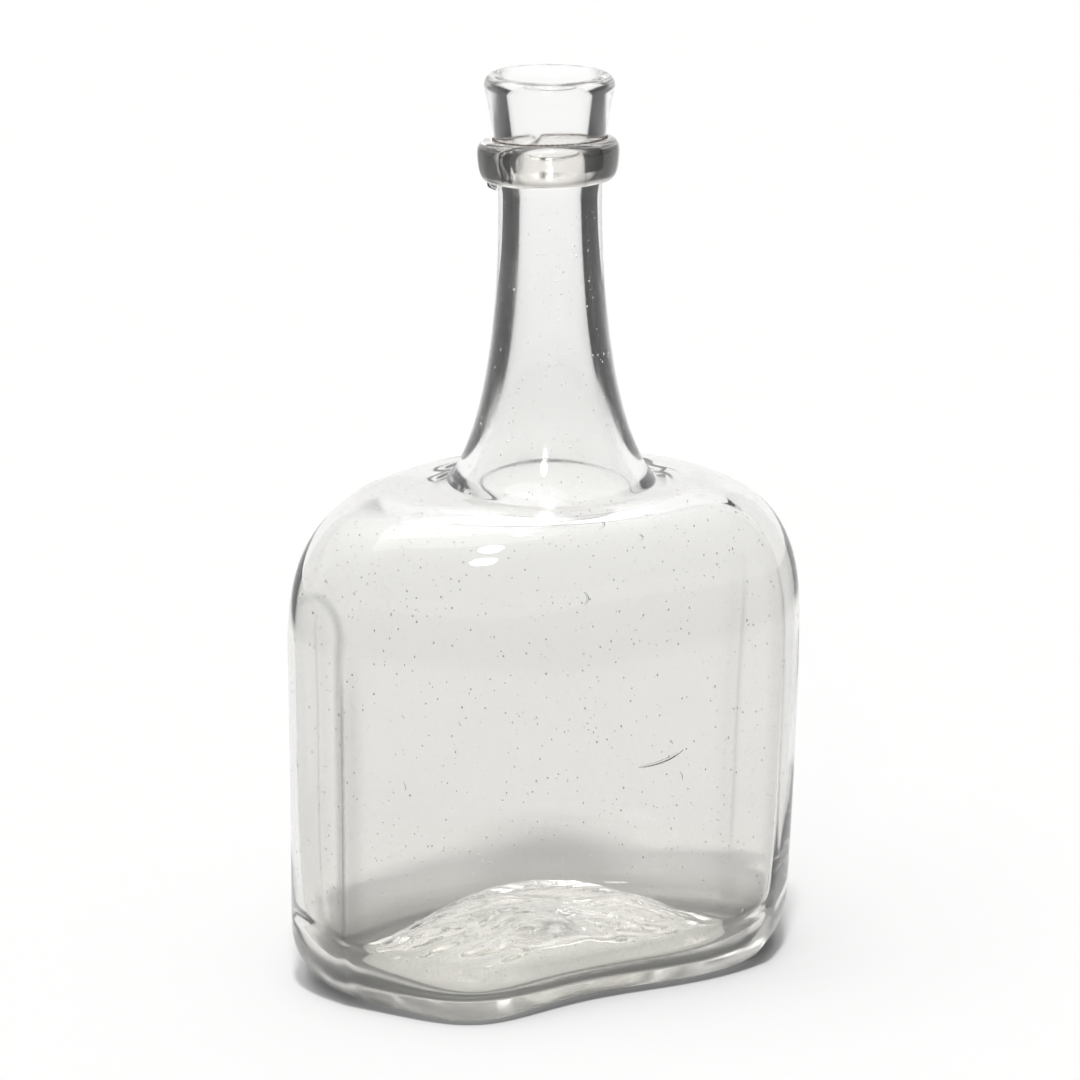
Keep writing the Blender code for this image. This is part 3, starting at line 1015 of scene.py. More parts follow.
@dataclass
class Vessel:
    """The blown vessel: one shell of changing wall from the kicked-up base to the lip."""

    plan: BodyPlan = field(default_factory=BodyPlan)
    neck: Neck = field(default_factory=Neck)
    wear: WearAndShade = WearAndShade()
    under_ripples: Ripples = Ripples(depth=0.00012, seed=21.0)
    floor_ripples: Ripples = Ripples(depth=0.00070, seed=12.0)
    # The foot: its heel, its standing band and its kick.
    front_heel_run: float = 0.0060
    side_heel_run: float = 0.0138
    front_heel_height: float = 0.0080
    side_heel_height: float = 0.0180
    band_width: float = 0.0040
    kick_height: float = 0.0090
    kick_set_back: float = 0.0040
    seat_radius: float = 0.0105
    seat_shares: Pair = (0.12, 0.88)
    kick_power: float = 1.3
    # The shoulder and the mouth.
    body_rise: float = 0.0900
    shoulder_tilt: float = 0.0010
    front_shoulder_power: float = 2.4
    back_shoulder_power: float = 3.2
    side_shoulder_power: float = 2.75
    mouth_bore_radius: float = 0.0108
    mouth_bore_depth: float = 0.0036
    # The wall of glass, from the base up.
    base_wall: float = 0.0070
    band_wall: float = 0.0050
    heel_wall: float = 0.0034
    body_wall: float = 0.0012
    wall_thinning: float = 0.35
    root_wall: float = 0.0036
    root_gathering: float = 1.5
    neck_wall: float = 0.0053
    neck_gathering: float = 0.6
    neck_step_power: float = 1.8
    # How many rows each stage has, and where the first row above the heel lies.
    first_share: float = 0.04
    seat_rows: int = 5
    heel_rows: int = 14
    kick_rows: int = 60
    wall_rows: int = 36
    shoulder_rows: int = 40
    neck_rows: int = 56
    mouth_rows: int = 56
    lip_rows: int = 14
    # How far the skins are eased, and where their slow waves may show.
    outer_easing: int = 5
    inner_easing: int = 4
    root_easing: int = 60
    root_span: float = 11.0
    calm_reach: float = 0.018
    wave_top: float = 0.200
    wave_foot: float = 0.02
    wave_fade: float = 0.03
    outer_waves: SlowWaves = SlowWaves(depth=0.00025, seed=3.1, span=0.055)
    inner_waves: SlowWaves = SlowWaves(depth=0.00035, seed=7.7, span=0.035)
    # How far in from the floor's edge the painted highlights reach, as a share of its rows.
    bloom_share: float = 0.40

    def heel_tops(self) -> np.ndarray:
        """Return the height at which each column of the heel has turned upright."""
        return mix(self.front_heel_height, self.side_heel_height, self.plan.sideways(self.plan.foot()))

    def heel_row(self, turn: float, floor: float, tops: np.ndarray, wall: float) -> np.ndarray:
        """Return a row of the heel, which turns from a floor up to the tops.

        Args:
            turn: How far it has turned, from nothing to a quarter of a turn.
            floor: The height that it starts from.
            tops: The height at which each column has turned upright.
            wall: The wall of glass that it lies inside of.

        Returns:
            The row's points.
        """
        row = self.plan.wall(mix(floor, tops, 1 - cos(turn)))
        run = 1 - sin(turn)
        return self.plan.inset(row, self.front_heel_run * run + wall, self.side_heel_run * run + wall)

    def outer_heel(self) -> list[np.ndarray]:
        """Return the rows that turn from the standing band up into the wall."""
        turns = np.linspace(0, pi / 2, self.heel_rows + 1)
        return [self.heel_row(turn, 0.0, self.heel_tops(), 0.0) for turn in turns]

    def wall_heights(self, share: float) -> np.ndarray:
        """Return each column's height, a share of the way from the heel's top to the shoulder."""
        return mix(self.heel_tops(), self.body_rise, share)

    def inner_heel(self) -> list[np.ndarray]:
        """Return the rows that turn from the inner floor up to the first row of the inner wall.

        Returns:
            The rows, without that first row.
        """
        turns = np.linspace(0, pi / 2, self.heel_rows, endpoint=False)
        tops = self.wall_heights(self.first_share)
        return [self.heel_row(turn, self.band_wall, tops, self.heel_wall) for turn in turns]

    def base(self, edge: np.ndarray, middle_height: float, edge_height: float) -> list[np.ndarray]:
        """Return the rows of a kicked-up base.

        Args:
            edge: The row that it ends at, which isn't among its rows.
            middle_height: How high its middle stands.
            edge_height: How high its edge stands.

        Returns:
            The rows, from its middle outwards.
        """
        middle = (0.0, self.kick_set_back)
        shares = np.linspace(*self.seat_shares, self.seat_rows)
        rows = [self.plan.circle(self.seat_radius * share, middle_height, middle) for share in shares]
        seat = self.plan.circle(self.seat_radius, 0.0, middle)
        for step in range(self.kick_rows):
            share = step / self.kick_rows
            row = mix(seat, edge, share)
            row[:, 2] = mix(edge_height, middle_height, (1 + cos(pi * share ** self.kick_power)) / 2)
            rows.append(row)
        return rows

    def shoulder(self) -> list[np.ndarray]:
        """Return the rows that draw the cornered body in to the round root of the neck.

        Returns:
            The rows between the body's top and the root.
        """
        full = self.plan.full()
        root = self.ring_of_neck(self.neck.root_height, self.neck.root_radius)
        middle_power = np.where(full[:, 1] < 0, self.front_shoulder_power, self.back_shoulder_power)
        power = mix(middle_power, self.side_shoulder_power, self.plan.sideways(full))
        rows = []
        for step in range(1, self.shoulder_rows):
            turn = pi / 2 * step / self.shoulder_rows
            row = mix(root, full, (cos(turn) ** (2 / power))[:, None])
            height = mix(self.body_rise, self.neck.root_height, sin(turn) ** (2 / power))
            row[:, 2] = height - self.shoulder_tilt * row[:, 0] / self.plan.side_crown * sin(2 * turn)
            rows.append(row)
        return rows

    def ring_of_neck(self, height: float, radius: float) -> np.ndarray:
        """Return a circle round the neck's axis at a height."""
        return self.plan.circle(radius, height, (self.neck.axis(height), 0.0))

    def mouth(self) -> list[np.ndarray]:
        """Return the rows of the mouth's outside.

        Returns:
            The rows from the waist of the neck up to the lip.
        """
        neck = self.neck
        heights = np.linspace(neck.waist_height, neck.total_height - neck.lip_round, self.mouth_rows + 1)
        return [self.ring_of_neck(height, neck.radius(height)) for height in heights]

    def mouth_bore(self) -> list[np.ndarray]:
        """Return the rows of the bore above the waist, which opens towards the lip.

        Returns:
            The rows, upwards.
        """
        neck = self.neck
        rows = []
        for share in np.linspace(0, 1, self.mouth_rows // 2 + 1):
            height = mix(neck.waist_height, neck.total_height - self.mouth_bore_depth, share)
            radius = mix(neck.waist_radius - self.neck_wall, self.mouth_bore_radius, share)
            rows.append(self.ring_of_neck(height, radius))
        return rows

    def lip(self, outer: np.ndarray, inner: np.ndarray) -> list[np.ndarray]:
        """Return the rows that round the lip over.

        Args:
            outer: The last row of the outer skin.
            inner: The last row of the bore.

        Returns:
            The rows between them.
        """
        middle = (outer + inner) / 2
        rows = []
        for step in range(1, self.lip_rows):
            turn = pi * step / self.lip_rows
            row = middle + (outer - middle) * cos(turn)
            row[:, 2] = mix(outer[:, 2], inner[:, 2], (1 - cos(turn)) / 2)
            row[:, 2] += (self.neck.total_height - middle[:, 2]) * sin(turn)
            rows.append(row)
        return rows

    def upper_skin(self) -> tuple[np.ndarray, np.ndarray]:
        """Return the smooth outer skin from the heel's top to the neck's waist.

        Returns:
            The rows, and the thickness of the glass at each.
        """
        shares = np.linspace(self.first_share, 1, self.wall_rows)
        wall = [self.plan.wall(self.wall_heights(share)) for share in shares]
        shoulder = self.shoulder()
        risen = np.arange(self.neck_rows) / self.neck_rows
        heights = mix(self.neck.root_height, self.neck.waist_height, risen ** self.neck_step_power)
        neck = [self.ring_of_neck(height, self.neck.radius(height)) for height in heights]
        thickness = np.concatenate([
            mix(self.heel_wall, self.body_wall, np.linspace(0, 1, len(wall)) ** self.wall_thinning),
            mix(self.body_wall, self.root_wall, np.linspace(0, 1, len(shoulder)) ** self.root_gathering),
            mix(self.root_wall, self.neck_wall, risen ** self.neck_gathering),
        ])
        return soften(np.stack(wall + shoulder + neck), self.outer_easing), thickness

    def walls(self) -> tuple[np.ndarray, np.ndarray]:
        """Return both skins from the heel's top to the neck's waist, with their slow waves.

        Returns:
            The outer and the inner rows.
        """
        skin, thickness = self.upper_skin()
        inner = soften(skin - skin_normals(skin) * thickness[:, None, None], self.inner_easing)
        root = self.wall_rows + self.shoulder_rows
        near_root = np.exp(-((np.arange(len(inner)) - root) / self.root_span) ** 2)
        eased = soften(inner.swapaxes(0, 1), self.root_easing).swapaxes(0, 1)
        inner = mix(inner, eased, near_root[:, None, None])
        height = skin[:, :, 2]
        free = smooth_step((self.wave_top - height) / self.wave_fade)
        free *= smooth_step((height - self.wave_foot) / self.wave_fade)
        free *= 1 - np.exp(-((height - self.neck.root_height) / self.calm_reach) ** 2)
        skin = mix(skin, self.outer_waves.press(skin), free[:, :, None])
        inner = mix(inner, self.inner_waves.press(inner), free[:, :, None])
        return skin, inner

    def build(self) -> Piece:
        """Return the vessel's object, with no material yet.

        Returns:
            The object, whose points carry their rubbing with its painted shade and their share of the painted
            highlights.
        """
        skin, inner_wall = self.walls()
        heel, inner_heel = self.outer_heel(), self.inner_heel()
        band = self.plan.inset(heel[0], self.band_width, self.band_width)
        under = self.under_ripples.press(self.base(band, self.kick_height, 0.0))
        inner_kick = self.base(inner_heel[0], self.kick_height + self.base_wall, self.band_wall)
        floor = self.floor_ripples.press(inner_kick)
        turned = soften(np.stack(heel), self.outer_easing)
        outer = np.concatenate([under, band[None], turned, skin, np.stack(self.mouth())])
        turned = soften(np.stack(inner_heel), self.inner_easing)
        inner = np.concatenate([floor, turned, inner_wall, np.stack(self.mouth_bore())])
        rows = np.concatenate([outer, np.stack(self.lip(outer[-1], inner[-1])), inner[::-1]])
        self.outer_count = len(outer)
        self.middle_wall = (skin + inner_wall) / 2
        points = capped(rows)
        piece = plain_mesh("vessel", points, skin_faces(len(rows), self.plan.count))
        worn = self.wear.ridges(self.plan, outer)
        stood = slice(len(under) - self.wear.rows_under, len(under) + len(heel) + self.wear.rows_above)
        worn[stood] = np.maximum(worn[stood], self.wear.rubbed(self.plan, outer[stood]))
        wear, bloom = np.zeros((2, len(points)))
        wear[:worn.size] = worn.reshape(-1)
        mark(piece, "wear", wear)
        from_edge = len(floor) - np.arange(len(floor))
        highlight_mask = smooth_step(from_edge / (self.bloom_share * len(floor)))[::-1]
        bloom[-2 - len(floor) * self.plan.count:-2] = np.repeat(highlight_mask, self.plan.count)
        bloom[-1] = 1.0
        mark(piece, "haze", bloom)
        return piece

    def finish(self, piece: Piece, covered: Callable[[Vector], bool], finishes: tuple[Material, ...]) -> None:
        """Give the vessel its finishes: outside, under a fused piece, and inside.

        Args:
            piece: The vessel.
            covered: Says whether a point of the outside lies under the fused piece.
            finishes: The materials of the outside, of the covered faces and of the inside.
        """
        mesh = piece.data
        for material in finishes:
            mesh.materials.append(material)
        outside = self.outer_count * self.plan.count
        inside = (self.outer_count + self.lip_rows // 2) * self.plan.count
        for face in mesh.polygons:
            corners = face.vertices[:]
            if max(corners) < outside and all(covered(mesh.vertices[corner].co) for corner in corners):
                face.material_index = 1
            elif min(corners) >= inside:
                face.material_index = 2


@dataclass
class NeckRing:
    """The trail wound once round the neck, with a scarfed lap and a drooping tail."""

    neck: Neck = field(default_factory=Neck)
    rise: float = 0.0089
    height: float = 0.0110
    build_out: float = 0.0043
    tilt: float = 0.0008
    tail_droop: float = 0.0026
    tip_height: float = 0.0014
    lap_gap: float = 0.0003
    seat_gap: float = 0.00005
    power: float = 2.8
    tip_power: float = 0.4
    # The lap, and the sides that the trail dips and swells towards.
    lap_angle: float = radians(75)
    lap_start: float = radians(95)
    lap_ease: float = 0.15
    tilt_towards: float = radians(-75)
    fuller_towards: float = radians(165)
    fuller_share: float = 0.14
    # How its two ends close to points.
    start_closing: Pair = (0.006, 0.02)
    tail_closing: Pair = (0.022, 0.01)
    closing_power: float = 0.5
    # The part of its section that touches the neck, and what counts as covered.
    seat_share: float = 0.25
    seat_margin: float = 0.01
    cover_margin: float = 0.0001
    fused_share: float = 0.6
    # Its lumps, how fine it is, and the stretch of its seam that holds dirt.
    thread: float = 0.001
    lump_scale: float = 2.2
    lump_share: float = 0.16
    steps: int = 320
    round_steps: int = 40
    seam_ends: Pair = (0.02, 0.86)
    seam_points: int = 480

    def section(self, turn: float) -> tuple[float, float, float, float]:
        """Return the trail's section at a share of its whole length.

        Args:
            turn: The share, from nothing at its start to one at its tail.

        Returns:
            The angle, the height of the middle, half the height and how far it is built out.
        """
        sweep = tau + self.lap_angle
        angle = self.lap_start + sweep * turn
        from_start = sweep * turn / self.lap_angle
        from_end = sweep * (1 - turn) / self.lap_angle
        step = self.tip_height + self.lap_gap
        body = self.height - 2 * self.tip_height - self.lap_gap
        bottom = -self.height / 2 + step * (1 - smooth_step((from_start - 1) / self.lap_ease))
        top = self.height / 2 - step * (1 - smooth_step((from_end - 1) / self.lap_ease))
        if from_start < 1:
            bottom = self.height / 2 - self.tip_height - body * from_start
        if from_end < 1:
            droop = self.tail_droop * (1 - from_end) ** 2
            top = bottom + self.tip_height + body * from_end - droop
            bottom -= droop
        middle = self.neck.waist_height + self.rise + self.tilt * cos(angle - self.tilt_towards)
        fuller = 1 + self.fuller_share * cos(angle - self.fuller_towards)
        taper = ((top - bottom) / self.height) ** self.tip_power
        opened = turn / self.start_closing[0] + self.start_closing[1]
        closed = (1 - turn) / self.tail_closing[0] + self.tail_closing[1]
        closing = min(1.0, opened, closed) ** self.closing_power
        half = (top - bottom) / 2 * closing
        return angle, middle + (top + bottom) / 2, half, self.build_out * fuller * taper * closing

    def covers(self, point: Vector) -> bool:
        """Return whether the trail covers a point.

        Args:
            point: A point of the neck.

        Returns:
            Whether it lies under the trail.
        """
        sweep = tau + self.lap_angle
        angle = np.arctan2(point.y, point.x - self.neck.axis(point.z))
        first = (angle - self.lap_start) % tau / sweep
        for turn in (first, first + tau / sweep):
            if turn < 1:
                _, middle, half, _ = self.section(turn)
                if abs(point.z - middle) < half - self.cover_margin:
                    return True
        return False

    def path(self) -> Piece:
        """Return the trail's path as a line.

        Returns:
            The line, whose points carry their section's sizes.
        """
        turns = np.linspace(0, 1, self.steps + 1)
        sections = np.array([self.section(turn) for turn in turns])
        points = np.stack([np.cos(sections[:, 0]), np.sin(sections[:, 0]), sections[:, 1]], axis=1)
        path = line_mesh("trail_path", points)
        laps = turns * (tau + self.lap_angle) / self.lap_angle
        mark(path, "lap", np.where(laps < 1, -1.0, 0.0) + np.where(laps > laps[-1] - 1, 1.0, 0.0))
        for place, name in enumerate(TRAIL_MARKS[:4]):
            mark(path, name, sections[:, place])
        return path

    def sizes(self) -> dict[str, float]:
        """Return the sizes that the node tree takes.

        Returns:
            The value of each of its named inputs.
        """
        neck = self.neck
        return {
            "Round Steps": self.round_steps,
            "Seat Share": self.seat_share,
            "Power": self.power,
            "Seat Gap": self.seat_gap,
            "Waist Height": neck.waist_height,
            "Waist Radius": neck.waist_radius,
            "Flare": neck.lip_radius - neck.waist_radius,
            "Flare Rise": neck.total_height - neck.lip_round - neck.waist_height,
            "Flare Power": neck.flare_power,
            "Lean": -neck.lean / (neck.total_height - neck.root_height),
        }

    def wrapped(self, nodes: Nodes, size: bpy.types.NodeOutputs) -> tuple[Socket, Socket, Socket]:
        """Return where a point of the section lies, wrapped round the flaring neck.

        Args:
            nodes: The tree's nodes.
            size: The tree's inputs.

        Returns:
            The place, how high it lies in its section from -1 to 1, and how far past the face's end.
        """
        around = nodes.carried("around")
        face_share = nodes.less(1.0, size["Seat Share"])
        swing = nodes.less(nodes.math("DIVIDE", around, face_share), 0.5)
        swing = nodes.math("SINE", nodes.times(swing, pi))
        past = nodes.less(around, face_share)
        back = nodes.less(1.0, nodes.times(nodes.math("DIVIDE", past, size["Seat Share"]), 2.0))
        seated = nodes.math("GREATER_THAN", around, face_share)
        rise = nodes.add("ShaderNodeMix", 0, data_type="FLOAT", in_0=seated, in_2=swing, in_3=back)
        outer = nodes.less(1.0, nodes.math("POWER", nodes.math("ABSOLUTE", rise), size["Power"]))
        outer = nodes.math("MAXIMUM", outer, 0.0)
        swell = nodes.math("POWER", outer, nodes.math("DIVIDE", 1.0, size["Power"]))
        swell = nodes.times(swell, nodes.less(1.0, seated))
        height = nodes.math("MULTIPLY_ADD", nodes.carried("half"), rise, nodes.carried("middle"))
        risen = nodes.less(height, size["Waist Height"])
        above = nodes.math("MAXIMUM", nodes.math("DIVIDE", risen, size["Flare Rise"]), 0.0)
        flare = nodes.math("POWER", above, size["Flare Power"])
        neck = nodes.math("MULTIPLY_ADD", flare, size["Flare"], size["Waist Radius"])
        spot = nodes.add("GeometryNodeInputPosition")
        lump = nodes.add("ShaderNodeTexNoise", vector=spot, scale=self.lump_scale, detail=1.0)
        uneven = nodes.math("MULTIPLY_ADD", lump, self.lump_share, 1 - self.lump_share / 2)
        out = nodes.times(nodes.times(nodes.carried("build"), swell), uneven)
        radius = nodes.math("ADD", nodes.math("ADD", neck, size["Seat Gap"]), out)
        axis = nodes.math("MULTIPLY_ADD", risen, size["Lean"], self.neck.axis(self.neck.waist_height))
        x = nodes.math("MULTIPLY_ADD", radius, nodes.math("COSINE", nodes.carried("angle")), axis)
        y = nodes.times(radius, nodes.math("SINE", nodes.carried("angle")))
        return nodes.add("ShaderNodeCombineXYZ", in_0=x, in_1=y, in_2=height), rise, past

    def build(self, glass: Material, fused: Material) -> Piece:
        """Return the ring, swept along its path.

        Args:
            glass: Its finish.
            fused: The finish of the faces that touch the neck or the lap.

        Returns:
            The ring as a plain mesh.
        """
        sizes = self.sizes()
        nodes, size = new_tree("trail_sweep", sizes)
        curve = nodes.add("GeometryNodeMeshToCurve", mesh=size["Geometry"])
        round_sizes = {"resolution": size["Round Steps"], "radius": self.thread}
        circle = nodes.add("GeometryNodeCurvePrimitiveCircle", **round_sizes)
        stored = {"geometry": circle, "in_2": "around", "in_3": nodes.add("GeometryNodeSplineParameter")}
        profile = nodes.add("GeometryNodeStoreNamedAttribute", data_type="FLOAT", domain="POINT", **stored)
        swept = nodes.add("GeometryNodeCurveToMesh", curve=curve, profile_curve=profile, fill_caps=True)
        place, rise, past = self.wrapped(nodes, size)
        shaped = nodes.add("GeometryNodeSetPosition", geometry=swept, position=place)
        turned = nodes.add("GeometryNodeFlipFaces", mesh=shaped)
        clear = nodes.finish(turned, glass, smooth=True)
        on_seat = nodes.math("GREATER_THAN", past, self.seat_margin)
        in_lap = nodes.math("GREATER_THAN", nodes.times(nodes.carried("lap"), rise), self.fused_share)
        chosen = nodes.math("MAXIMUM", on_seat, in_lap)
        done = nodes.add("GeometryNodeSetMaterial", geometry=clear, selection=chosen, material=fused)
        nodes.add("NodeGroupOutput", in_0=done)
        return grown("ring", self.path(), nodes.tree, sizes)

    def seam(self) -> np.ndarray:
        """Return points along the seam where the trail's top meets the neck.

        Returns:
            The points, in order.
        """
        points = []
        for turn in np.linspace(*self.seam_ends, self.seam_points):
            angle, middle, half, _ = self.section(turn)
            height = middle + half
            radius = self.neck.radius(height)
            points.append((self.neck.axis(height) + radius * cos(angle), radius * sin(angle), height))
        return np.array(points)


@dataclass
class PontilScar:
    """The ragged disc of glass that the finishing rod left under the kick."""

    radius: float = 0.0085
    drop: float = 0.0020
    hollow: float = 0.0012
    hollow_reach: float = 0.7
    seat_gap: float = 0.0001
    kick_height: float = 0.0090
    set_back: float = 0.0040
    wave_shares: Pair = (0.10, 0.06)
    wave_counts: tuple[int, int] = (3, 7)
    # The profile from the middle out: broken face, rim and seat, as shares of the reach and the drop.
    face_ends: Pair = (0.08, 0.9)
    face_rows: int = 14
    rim: tuple[Pair, ...] = ((0.96, 0.85), (1.0, 0.5), (0.95, 0.15))
    seat: tuple[float, ...] = (0.85, 0.6, 0.3)
    break_depth: float = 0.00035
    break_scale: float = 420.0
    break_seed: float = 4.0
    steps: int = 96

    def loop(self, reach: float, drop: float) -> np.ndarray:
        """Return one ragged loop.

        Args:
            reach: A share of the scar's reach.
            drop: How far it lies below the scar's seat.

        Returns:
            The loop's points.
        """
        angles = tau * np.arange(self.steps) / self.steps
        waves = zip(self.wave_shares, self.wave_counts)
        ragged = 1 + sum(size * np.sin(count * angles + count) for size, count in waves)
        radius = self.radius * reach * mix(1, ragged, reach)
        height = self.kick_height - self.seat_gap - drop * mix(1, ragged, reach)
        return np.stack([radius * np.cos(angles), self.set_back + radius * np.sin(angles), height], axis=1)

    def build(self) -> Piece:
        """Return the scar's object.

        Returns:
            The object, with its broken face roughened.
        """
        shares = np.linspace(*self.face_ends, self.face_rows)
        drops = self.drop - self.hollow * (1 - smooth_step(shares / self.hollow_reach))
        profile = list(zip(shares, drops))
        profile += [(share, self.drop * depth) for share, depth in self.rim]
        profile += [(share, 0.0) for share in self.seat]
        rows = np.stack([self.loop(reach, drop) for reach, drop in profile])
        broken = wave(rows, (self.break_scale,) * 3, self.break_seed) * self.break_depth
        rows[:self.face_rows, :, 2] += broken[:self.face_rows]
        return plain_mesh("scar", capped(rows), skin_faces(len(rows), self.steps))


@dataclass
class Seeds:
    """The tiny bubbles that are scattered through the wall of the vessel."""

    density: float = 120000.0
    smallest: float = 0.00005
    largest: float = 0.00029
    rarity: float = 5.0
    stretch: float = 1.4
    seed: int = 5

    def build(self, middle_wall: np.ndarray, material: Material) -> Piece:
        """Return the seeds, strewn over the surface halfway through the vessel's wall.

        Args:
            middle_wall: The rows of that surface.
            material: The seeds' finish.

        Returns:
            The piece.
        """
        sizes = named_inputs(self)
        nodes, size = new_tree("seed_scatter", sizes)
        scatter = {"mesh": size["Geometry"], "density": size["Density"], "seed": size["Seed"]}
        spots = nodes.add("GeometryNodeDistributePointsOnFaces", **scatter)
        bubble = nodes.add("GeometryNodeMeshIcoSphere", radius=1.0, subdivisions=1)
        chances = {"in_2": 0.0, "in_3": 1.0, "seed": size["Seed"]}
        chance = nodes.add("FunctionNodeRandomValue", 1, data_type="FLOAT", **chances)
        rare = nodes.math("POWER", chance, size["Rarity"])
        reach = nodes.less(size["Largest"], size["Smallest"])
        width = nodes.math("MULTIPLY_ADD", rare, reach, size["Smallest"])
        tall = nodes.times(width, size["Stretch"])
        scale = nodes.add("ShaderNodeCombineXYZ", in_0=width, in_1=width, in_2=tall)
        strewn = nodes.add("GeometryNodeInstanceOnPoints", points=spots, instance=bubble, scale=scale)
        nodes.add("NodeGroupOutput", in_0=nodes.finish(strewn, material, smooth=True))
        rows, columns = middle_wall.shape[:2]
        faces = [quad for quad in skin_faces(rows, columns) if max(quad) < rows * columns]
        base = plain_mesh("middle_wall", middle_wall.reshape(-1, 3), faces)
        return grown("seeds", base, nodes.tree, sizes)


@dataclass(frozen=True)
class View:
    """The camera: where it stands, where it looks and how long its lens is."""

    place: Triple = (-0.25166, -0.91609, 0.40560)
    heading: float = radians(-15.2407)
    pitch: float = radians(-16.8163)
    roll: float = radians(0.2292)
    lens: float = 127.2
    sensor: float = 36.0
    picture: int = 1080
    nearest: float = 0.01
    farthest: float = 50.0

    def matrix(self) -> Matrix:
        """Return the camera's place and turn."""
        turn = Matrix.Rotation(self.heading, 4, "Z") @ Matrix.Rotation(pi / 2 + self.pitch, 4, "X")
        return Matrix.Translation(self.place) @ turn @ Matrix.Rotation(self.roll, 4, "Z")

    def make(self) -> Piece:
        """Make the camera and look through it.

        Returns:
            The camera.
        """
        lens = bpy.data.cameras.new("camera")
        lens.lens = self.lens
        lens.sensor_width = self.sensor
        lens.clip_start = self.nearest
        lens.clip_end = self.farthest
        camera = placed("camera", lens)
        camera.matrix_world = self.matrix()
        bpy.context.scene.camera = camera
        return camera

    def ray(self, x: float, y: float) -> tuple[Vector, Vector]:
        """Return a line of sight.

        Args:
            x: How far to the right it passes through the photograph, in pixels.
            y: How far down.

        Returns:
            Where it starts, and its direction.
        """
        half = self.picture / 2
        spread = self.sensor / self.lens / self.picture
        across = Vector(((x - half) * spread, (half - y) * spread, -1.0))
        return Vector(self.place), (self.matrix().to_3x3() @ across).normalized()


@dataclass(frozen=True)
class Blister:
    """One long bubble: its two ends and its bend in the photograph, and half its width."""

    start: Pair
    bend: Pair
    end: Pair
    half: float

    def spot(self, share: float) -> np.ndarray:
        """Return the place in the photograph that lies a share of the way along the bubble."""
        start, bend, end = np.array(self.start), np.array(self.bend), np.array(self.end)
        return mix(mix(start, bend, share), mix(bend, end, share), share)


@dataclass
class Blisters:
    """The few long bubbles of the front wall, each where the photograph shows it."""

    bubbles: tuple[Blister, ...] = (
        Blister((639, 768), (668, 763), (684, 750), 0.00052),
        Blister((584, 592), (592, 598), (585, 605), 0.00028),
        Blister((681, 772), (684, 776), (683, 781), 0.00014),
        Blister((403, 782), (406, 787), (405, 791), 0.00014),
        Blister((600, 528), (608, 524), (602, 521), 0.00030),
        Blister((640, 534), (646, 537), (641, 540), 0.00026),
    )
    depth: float = 0.0006
    steps: int = 24
    sides: int = 10
    ends: float = 0.6
    tip_share: float = 0.06

    def tube(self, line: np.ndarray, outwards: Vector, half: float) -> np.ndarray:
        """Return the rows of a bubble that swells and shrinks along a line.

        Args:
            line: The points of the line.
            outwards: The way out of the wall.
            half: Half the bubble's width.

        Returns:
            The rows.
        """
        rows = []
        turns = np.arange(self.sides) * tau / self.sides
        for place, share in enumerate(np.linspace(0, 1, len(line))):
            ahead = Vector(line[min(place + 1, len(line) - 1)] - line[max(place - 1, 0)]).normalized()
            side = ahead.cross(outwards).normalized()
            up = side.cross(ahead)
            reach = half * (self.tip_share + sin(pi * share)) ** self.ends
            ring = np.outer(np.cos(turns), up) + np.outer(np.sin(turns), ahead.cross(up))
            rows.append(line[place] + reach * ring)
        return np.stack(rows)

    def build(self, shell: Piece, view: View, material: Material) -> Piece:
        """Return the bubbles, set in the wall where lines of sight through their places meet it.

        Args:
            shell: The vessel.
            view: The photograph's view.
            material: The bubbles' finish.

        Returns:
            The piece.
        """
        bpy.context.view_layer.update()
        points: list[np.ndarray] = []
        faces: Faces = []
        for bubble in self.bubbles:
            line, outwards = [], Vector((0.0, -1.0, 0.0))
            for share in np.linspace(0, 1, self.steps + 1):
                found, hit, outwards, _ = shell.ray_cast(*view.ray(*bubble.spot(share)))
                if found:
                    line.append(hit - outwards * self.depth)
            rows = self.tube(np.array(line), outwards, bubble.half)
            first = sum(len(some) for some in points)
            skin = skin_faces(len(rows), self.sides)
            faces += [tuple(first + corner for corner in face) for face in skin]
            points.append(capped(rows))
        piece = plain_mesh("blisters", np.concatenate(points), faces)
        piece.data.materials.append(material)
        return piece


@dataclass
class SeamDirt:
    """Grains of old dirt along the seam above the ring."""

    count: int = 3200
    smallest: float = 0.00003
    largest: float = 0.00017
    scatter: float = 0.00026
    seed: int = 3

    def build(self, seam: np.ndarray, material: Material) -> Piece:
        """Return the grains, strewn along a seam.

        Args:
            seam: The points of the seam.
            material: The dirt's finish.

        Returns:
            The piece.
        """
        sizes = named_inputs(self)
        nodes, size = new_tree("grain_line", sizes)
        seed = size["Seed"]
        curve = nodes.add("GeometryNodeMeshToCurve", mesh=size["Geometry"])
        spots = nodes.add("GeometryNodeCurveToPoints", mode="COUNT", curve=curve, count=size["Count"])
        low, high = (
            nodes.add("ShaderNodeVectorMath", operation="SCALE", in_0=(way,) * 3, scale=size["Scatter"])
            for way in (-1, 1)
        )
        ends = {"in_0": low, "in_1": high, "seed": seed}
        jitter = nodes.add("FunctionNodeRandomValue", 0, data_type="FLOAT_VECTOR", **ends)
        moved = nodes.add("GeometryNodeSetPosition", geometry=spots, offset=jitter)
        grain = nodes.add("GeometryNodeMeshIcoSphere", radius=1.0, subdivisions=1)
        widths = {"in_2": size["Smallest"], "in_3": size["Largest"], "seed": seed}
        width = nodes.add("FunctionNodeRandomValue", 1, data_type="FLOAT", **widths)
        strewn = nodes.add("GeometryNodeInstanceOnPoints", points=moved, instance=grain, scale=width)
        nodes.add("NodeGroupOutput", in_0=nodes.finish(strewn, material, smooth=False))
        return grown("seam_dirt", line_mesh("seam_line", seam), nodes.tree, sizes)


